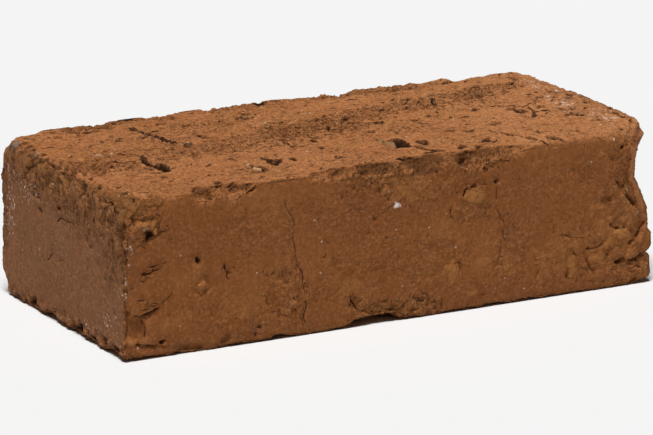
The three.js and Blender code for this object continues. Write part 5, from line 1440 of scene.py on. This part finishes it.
base = mix(math_("MULTIPLY", ramp(n_mottle, 0.49, 0.34, 0, 0.08), math_("SUBTRACT", 1.0, math_("MULTIPLY", a_flat, 0.6))), base, (0.43, 0.175, 0.062))
# dust lies on the beds, and the headers keep a greyer skin
base = mix(math_("MULTIPLY", a_bed, ramp(n_cloud, 0.3, 0.7, 0.22, 0.50)), base, (0.425, 0.174, 0.068))
base = mix(math_("MULTIPLY", math_("MULTIPLY", a_head, ramp(n_patch, 0.3, 0.7, 0.28, 0.50)), ramp(torn, 0.12, 0.40, 1.0, 0.45)), base, (0.36, 0.184, 0.104))
# painted shade: the headers and the long sides are made darker than the beds
base = mix(math_("MULTIPLY", a_head, 0.44), base, (0.105, 0.044, 0.019))
base = mix(math_("MULTIPLY", a_flat, 0.39), base, (0.150, 0.044, 0.010))
split = nt.nodes.new("ShaderNodeSeparateXYZ")
link(coord, split.inputs[0])
east = math_("MULTIPLY", ramp(split.outputs["X"], 0.0, 0.11, 0, 0.34), a_bed)
base = mix(east, base, (0.53, 0.232, 0.092))
waist = ramp(math_("ABSOLUTE", math_("SUBTRACT", split.outputs["Z"], 0.048)), 0.016, 0.004, 0, 0.10)
base = mix(math_("MULTIPLY", waist, a_flat), base, (0.150, 0.050, 0.014))
# painted shade: the long sides darker towards the floor
foot_shade = ramp(split.outputs["Z"], 0.016, 0.002, 0, 0.16)
base = mix(math_("MULTIPLY", foot_shade, a_flat), base, (0.110, 0.042, 0.016))
# torn clay is redder on the beds and more orange on the sides
base = mix(math_("MULTIPLY", a_bed, ramp(torn, 0.40, 0.95, 0, 0.55)), base, (0.268, 0.092, 0.026))
base = mix(math_("MULTIPLY", a_flat, ramp(math_("ADD", torn, math_("MULTIPLY", math_("SUBTRACT", n_mottle, 0.5), 0.6)), 0.23, 0.50, 0, 0.55)), base, (0.375, 0.150, 0.045))
# drawn marks up the sides
base = mix(math_("MULTIPLY", a_flat, ramp(n_streak, 0.50, 0.36, 0, 0.12)), base, (0.150, 0.054, 0.017))
base = mix(math_("MULTIPLY", a_head, ramp(n_streak, 0.50, 0.36, 0, 0.07)), base, (0.150, 0.054, 0.017))
base = mix(math_("MULTIPLY", a_flat, ramp(n_streak, 0.52, 0.66, 0, 0.07)), base, (0.50, 0.215, 0.090))
# painted shade in thin upright creases on the torn headers
n_up = noise(6.0, 3, 0.6, stretch=(1, 1, 0.22), distortion=0.7)
upright = math_("MULTIPLY", ramp(math_("ABSOLUTE", math_("SUBTRACT", n_up, 0.5)), 0.022, 0.005), math_("MULTIPLY", a_head, ramp(torn, 0.16, 0.36)))
base = mix(math_("MULTIPLY", upright, 0.55), base, (0.060, 0.024, 0.010))
# sand: painted light on the raised grains and painted shade in the gaps between them, in pores, on small step risers
# and in dashes along the bed, stronger where torn
base = mix(math_("MULTIPLY", ramp(n_sand, 0.53, 0.64), by(0.28, 0.05)), base, (0.52, 0.222, 0.086))
base = mix(math_("MULTIPLY", ramp(n_sand, 0.46, 0.37), by(0.52, 0.03, torn_d)), base, (0.130, 0.044, 0.013))
base = mix(math_("MULTIPLY", ramp(n_dash, 0.42, 0.36), math_("MULTIPLY", a_bed, by(0.35, 0.45))), base, (0.080, 0.027, 0.008))
base = mix(math_("MULTIPLY", ramp(n_grain, 0.48, 0.36), by(0.55, 0.21, torn_d)), base, (0.105, 0.037, 0.012))
base = mix(math_("MULTIPLY", ramp(n_grain, 0.52, 0.65), math_("ADD", by(0.30, 0.16), math_("MULTIPLY", a_head, 0.05))), base, (0.56, 0.262, 0.120))
base = mix(math_("MULTIPLY", ramp(n_bed, 0.425, 0.365), math_("MULTIPLY", a_bed, by(0.15, 0.62))), base, (0.100, 0.034, 0.010))
base = mix(math_("MULTIPLY", ramp(n_bed, 0.590, 0.650), math_("MULTIPLY", a_bed, by(0.10, 0.45))), base, (0.62, 0.300, 0.140))
base = mix(math_("MULTIPLY", riser, math_("MULTIPLY", torn_d, 0.25)), base, (0.110, 0.038, 0.013))
base = mix(math_("MULTIPLY", pore, by(0.60, 0.12, torn_d)), base, (0.085, 0.028, 0.009))
# creases that come and go, with painted shade in them
n_crease = noise(8.0, 4, 0.62, stretch=(0.75, 1, 1), distortion=0.9)
crease = ramp(math_("ABSOLUTE", math_("SUBTRACT", n_crease, 0.5)), 0.016, 0.004)
crease = math_("MULTIPLY", crease, ramp(noise(4.0, 2, 0.5), 0.49, 0.57))
crease = math_("MULTIPLY", crease, math_("ADD", math_("MULTIPLY", ramp(torn, 0.18, 0.60), 0.45), math_("MULTIPLY", a_bed, 0.15)), clamp=True)
base = mix(math_("MULTIPLY", crease, math_("ADD", math_("MULTIPLY", a_bed, 0.35), 0.35)), base, (0.085, 0.029, 0.009))
# painted shade in the hollows; proud places are made lighter
base = mix(math_("MULTIPLY", ramp(a_hollow, 0.10, 0.8, 0, 0.55), math_("SUBTRACT", 1.0, math_("MULTIPLY", math_("SUBTRACT", 1.0, a_bed), 0.60))), base, (0.115, 0.040, 0.013))
base = mix(ramp(a_hollow, -0.10, -0.7, 0, 0.40), base, (0.48, 0.205, 0.083))
base = mix(ramp(a_open, 0.15, 0.95, 0, 0.60), base, (0.085, 0.031, 0.011))
base = mix(ramp(a_open, 0.70, 1.05, 0, 0.45), base, (0.050, 0.018, 0.006))
# olive brown clay where it broke, ochre seams, plum-dark firing marks; the plum-dark colour also lays painted shade in
# one groove beside the near edge
ol = math_("MULTIPLY", a_olive, ramp(math_("ADD", n_mottle, math_("MULTIPLY", math_("SUBTRACT", n_sand, 0.5), 0.6)), 0.36, 0.52, 0.45, 1.0), clamp=True)
base = mix(math_("MULTIPLY", ol, 0.68), base, (0.165, 0.070, 0.020))
oc = math_("MULTIPLY", a_ochre, ramp(noise(2.4, 4, 0.65), 0.30, 0.52), clamp=True)
base = mix(math_("MULTIPLY", oc, 0.66), base, (0.45, 0.190, 0.055))
st = math_("MULTIPLY", a_stain_and_shade, ramp(noise(2.0, 4, 0.6), 0.28, 0.6), clamp=True)
base = mix(math_("MULTIPLY", st, 0.75), base, (0.105, 0.048, 0.032))
sl = ramp(math_("ADD", a_slate, math_("MULTIPLY", math_("SUBTRACT", n_grain, 0.5), 1.6)), 0.30, 0.75)
base = mix(math_("MULTIPLY", sl, 0.85), base, (0.20, 0.165, 0.125))
# grit: grey-brown, buff or nearly white grains
gr = ramp(math_("ADD", a_grit, math_("MULTIPLY", math_("SUBTRACT", n_grain, 0.5), 0.5)), 0.14, 0.30)
gr = math_("MULTIPLY", gr, ramp(a_grit, 0.02, 0.10))
grit_col = mix(ramp(a_grit, 0.30, 0.95), (0.245, 0.135, 0.062), (0.60, 0.35, 0.19))
grit_col = mix(ramp(n_grain, 0.47, 0.60, 0, 0.75), grit_col, (0.20, 0.105, 0.048))
base = mix(math_("MULTIPLY", gr, 0.88), base, grit_col)
# lime bloom and specks
sv, sc = spots(1.5)
lv, lc = spots(2.7)
salt_n = math_("ADD", a_salt, math_("MULTIPLY", math_("SUBTRACT", n_mottle, 0.5), 1.2))
speck = math_("MULTIPLY", ramp(sv, 0.36, 0.24), ramp(salt_n, 0.22, 0.60))
fleck = math_("MULTIPLY", ramp(math_("ADD", lv, math_("MULTIPLY", math_("SUBTRACT", n_grain, 0.5), 0.7)), 0.30, 0.20), ramp(salt_n, 0.28, 0.55))
film = ramp(math_("ADD", a_salt, math_("MULTIPLY", math_("SUBTRACT", n_grain, 0.5), 1.4)), 0.55, 0.95)
whit = math_("MAXIMUM", math_("MAXIMUM", math_("MULTIPLY", speck, 0.85), fleck), film)
base = mix(math_("MULTIPLY", whit, 0.86), base, (0.72, 0.56, 0.46))
base = mix(ramp(math_("ADD", a_salt, math_("MULTIPLY", math_("SUBTRACT", n_grain, 0.5), 1.2)), 1.1, 1.5), base, (0.96, 0.93, 0.90))
rv, rc = spots(6.5)
rare = math_("MULTIPLY", ramp(rv, 0.085, 0.060), ramp(noise(9, 2, 0.5), 0.50, 0.58))
base = mix(math_("MULTIPLY", rare, 0.55), base, (0.62, 0.47, 0.38))
# the fissures and pits themselves: a dark line of painted shade in each crack, and painted shade darkening to a
# near-black painted shadow in the pits
wander = math_("MULTIPLY", math_("SUBTRACT", noise(1.3, 3, 0.6), 0.5), 0.5)
pit_in = math_("ADD", a_ps, math_("ADD", math_("MULTIPLY", math_("SUBTRACT", n_grain, 0.5), 2.6), math_("MULTIPLY", math_("SUBTRACT", n_sand, 0.5), 3.0)))
pit = ramp(pit_in, -0.45, 0.85)
base = mix(math_("MULTIPLY", pit, 0.82), base, mix(ramp(n_grain, 0.50, 0.62), (0.052, 0.018, 0.006), (0.105, 0.037, 0.013)))
core = ramp(pit_in, 0.30, 1.10)
base = mix(math_("MULTIPLY", core, 0.82), base, (0.016, 0.006, 0.002))
dist = math_("ABSOLUTE", math_("ADD", a_cs, wander))
over = math_("SUBTRACT", dist, math_("MULTIPLY", a_cf, 0.25))
line = math_("MULTIPLY", ramp(over, 0.12, -0.06), ramp(a_cf, 0.02, 0.75))
line = math_("MULTIPLY", line, ramp(n_sand, 0.36, 0.50, 0.45, 1.0))
base = mix(math_("MULTIPLY", line, 0.9), base, (0.040, 0.014, 0.007))

bsdf = nt.nodes.new("ShaderNodeBsdfPrincipled")
out = nt.nodes.new("ShaderNodeOutputMaterial")
link(bsdf.outputs[0], out.inputs["Surface"])
link(base, bsdf.inputs["Base Color"])
rgh = math_("ADD", ramp(n_mottle, 0.3, 0.7, 0.86, 0.97), math_("MULTIPLY", whit, -0.08), clamp=True)
link(rgh, bsdf.inputs["Roughness"])
bsdf.inputs["Specular IOR Level"].default_value = 0.10


def bump(height, strength, distance_mm, normal=None):
    b = nt.nodes.new("ShaderNodeBump")
    b.inputs["Strength"].default_value = strength
    b.inputs["Distance"].default_value = distance_mm / 1000.0
    link(height, b.inputs["Height"])
    if normal is not None:
        link(normal, b.inputs["Normal"])
    return b.outputs[0]


skin = math_("ADD", math_("MULTIPLY", torn, 0.80), math_("ADD", math_("MULTIPLY", math_("ADD", a_bed, math_("MULTIPLY", a_head, 0.4)), 0.13), 0.07))
streak = noise(0.8, 3, 0.6, stretch=(1, 1, 0.16))
h_sand = math_("MULTIPLY", math_("SUBTRACT", n_sand, math_("MULTIPLY", pore, 0.25)), skin)
h_grain = math_("MULTIPLY", n_grain, skin)
h_fine = math_("ADD", math_("MULTIPLY", n_dust, 0.5), math_("MULTIPLY", streak, math_("MULTIPLY", math_("SUBTRACT", 1.0, a_bed), 0.35)))
nrm = bump(math_("MULTIPLY", tear_h, torn), 1.0, 2.2)
nrm = bump(h_sand, 1.0, 2.4, nrm)
nrm = bump(h_grain, 1.0, 1.2, nrm)
nrm = bump(h_fine, 0.8, 0.28, nrm)
nrm = bump(math_("SUBTRACT", 1.0, math_("MAXIMUM", math_("MAXIMUM", line, pit), math_("MAXIMUM", math_("MULTIPLY", crease, 0.7), math_("MULTIPLY", upright, 0.6)))), 1.0, 0.7, nrm)
link(nrm, bsdf.inputs["Normal"])

mesh.materials.clear()
mesh.materials.append(mat)

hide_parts("brick")
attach(brick, "root")

# ------------------------------------------------------------------ camera
AZ, EL, ROLL = math.radians(-28.056), math.radians(15.507), math.radians(-0.082)
DIST, FPX, TX, TY = 2187.12, 5149.6 * 1.0085, -0.931, -3.706
back_v = Vector((math.sin(AZ) * math.cos(EL), -math.cos(AZ) * math.cos(EL), math.sin(EL)))
fwd = -back_v
rt = fwd.cross(Vector((0, 0, 1))).normalized()
up = rt.cross(fwd)
rt2 = math.cos(ROLL) * rt + math.sin(ROLL) * up
up2 = -math.sin(ROLL) * rt + math.cos(ROLL) * up
pos = (Vector((0, 0, HZ)) + back_v * DIST + rt2 * TX + up2 * TY) / 1000.0
cam = bpy.data.cameras.new("camera")
cam.sensor_fit = "HORIZONTAL"
cam.sensor_width = 36.0
cam.lens = FPX / 653.0 * 36.0
cam.clip_start, cam.clip_end = 0.05, 100
cam_ob = bpy.data.objects.new("camera", cam)
m = Matrix.Identity(4)
for r_ in range(3):
    m[r_][0], m[r_][1], m[r_][2], m[r_][3] = rt2[r_], up2[r_], back_v[r_], pos[r_]
cam_ob.matrix_world = m
bpy.context.scene.collection.objects.link(cam_ob)
bpy.context.scene.camera = cam_ob

# ------------------------------------------------------------------ floor and light
fm = bpy.data.meshes.new("floor")
S = 9.0
fm.from_pydata([(-S, -S, 0), (S, -S, 0), (S, S, 0), (-S, S, 0)], [], [(0, 1, 2, 3)])
floor = bpy.data.objects.new("floor", fm)
floor.location.z = -0.0001
bpy.context.scene.collection.objects.link(floor)
fmat = bpy.data.materials.new("floor_paint")
fmat.use_nodes = True
fb = fmat.node_tree.nodes["Principled BSDF"]
fb.inputs["Base Color"].default_value = (0.70, 0.70, 0.698, 1)
fb.inputs["Roughness"].default_value = 0.9
fb.inputs["Specular IOR Level"].default_value = 0.1
fm.materials.append(fmat)


# one soft key, high over the near left corner
KEY_AZ, KEY_EL = math.radians(43), math.radians(76)
key = bpy.data.lights.new("key", "SUN")
key.angle = math.radians(20)
key.energy = 4.05
key_ob = bpy.data.objects.new("key", key)
key_dir = Vector((-math.sin(KEY_AZ) * math.cos(KEY_EL), -math.cos(KEY_AZ) * math.cos(KEY_EL), math.sin(KEY_EL)))
key_ob.location = key_dir * 1.5
key_ob.rotation_euler = (-key_dir).to_track_quat("-Z", "Y").to_euler()
bpy.context.scene.collection.objects.link(key_ob)
world = bpy.data.worlds.new("studio")
world.use_nodes = True
world.node_tree.nodes["Background"].inputs["Color"].default_value = (1, 1, 1, 1)
world.node_tree.nodes["Background"].inputs["Strength"].default_value = 0.06
bpy.context.scene.world = world
bpy.context.scene.view_settings.view_transform = "Standard"
bpy.context.scene.view_settings.look = "None"
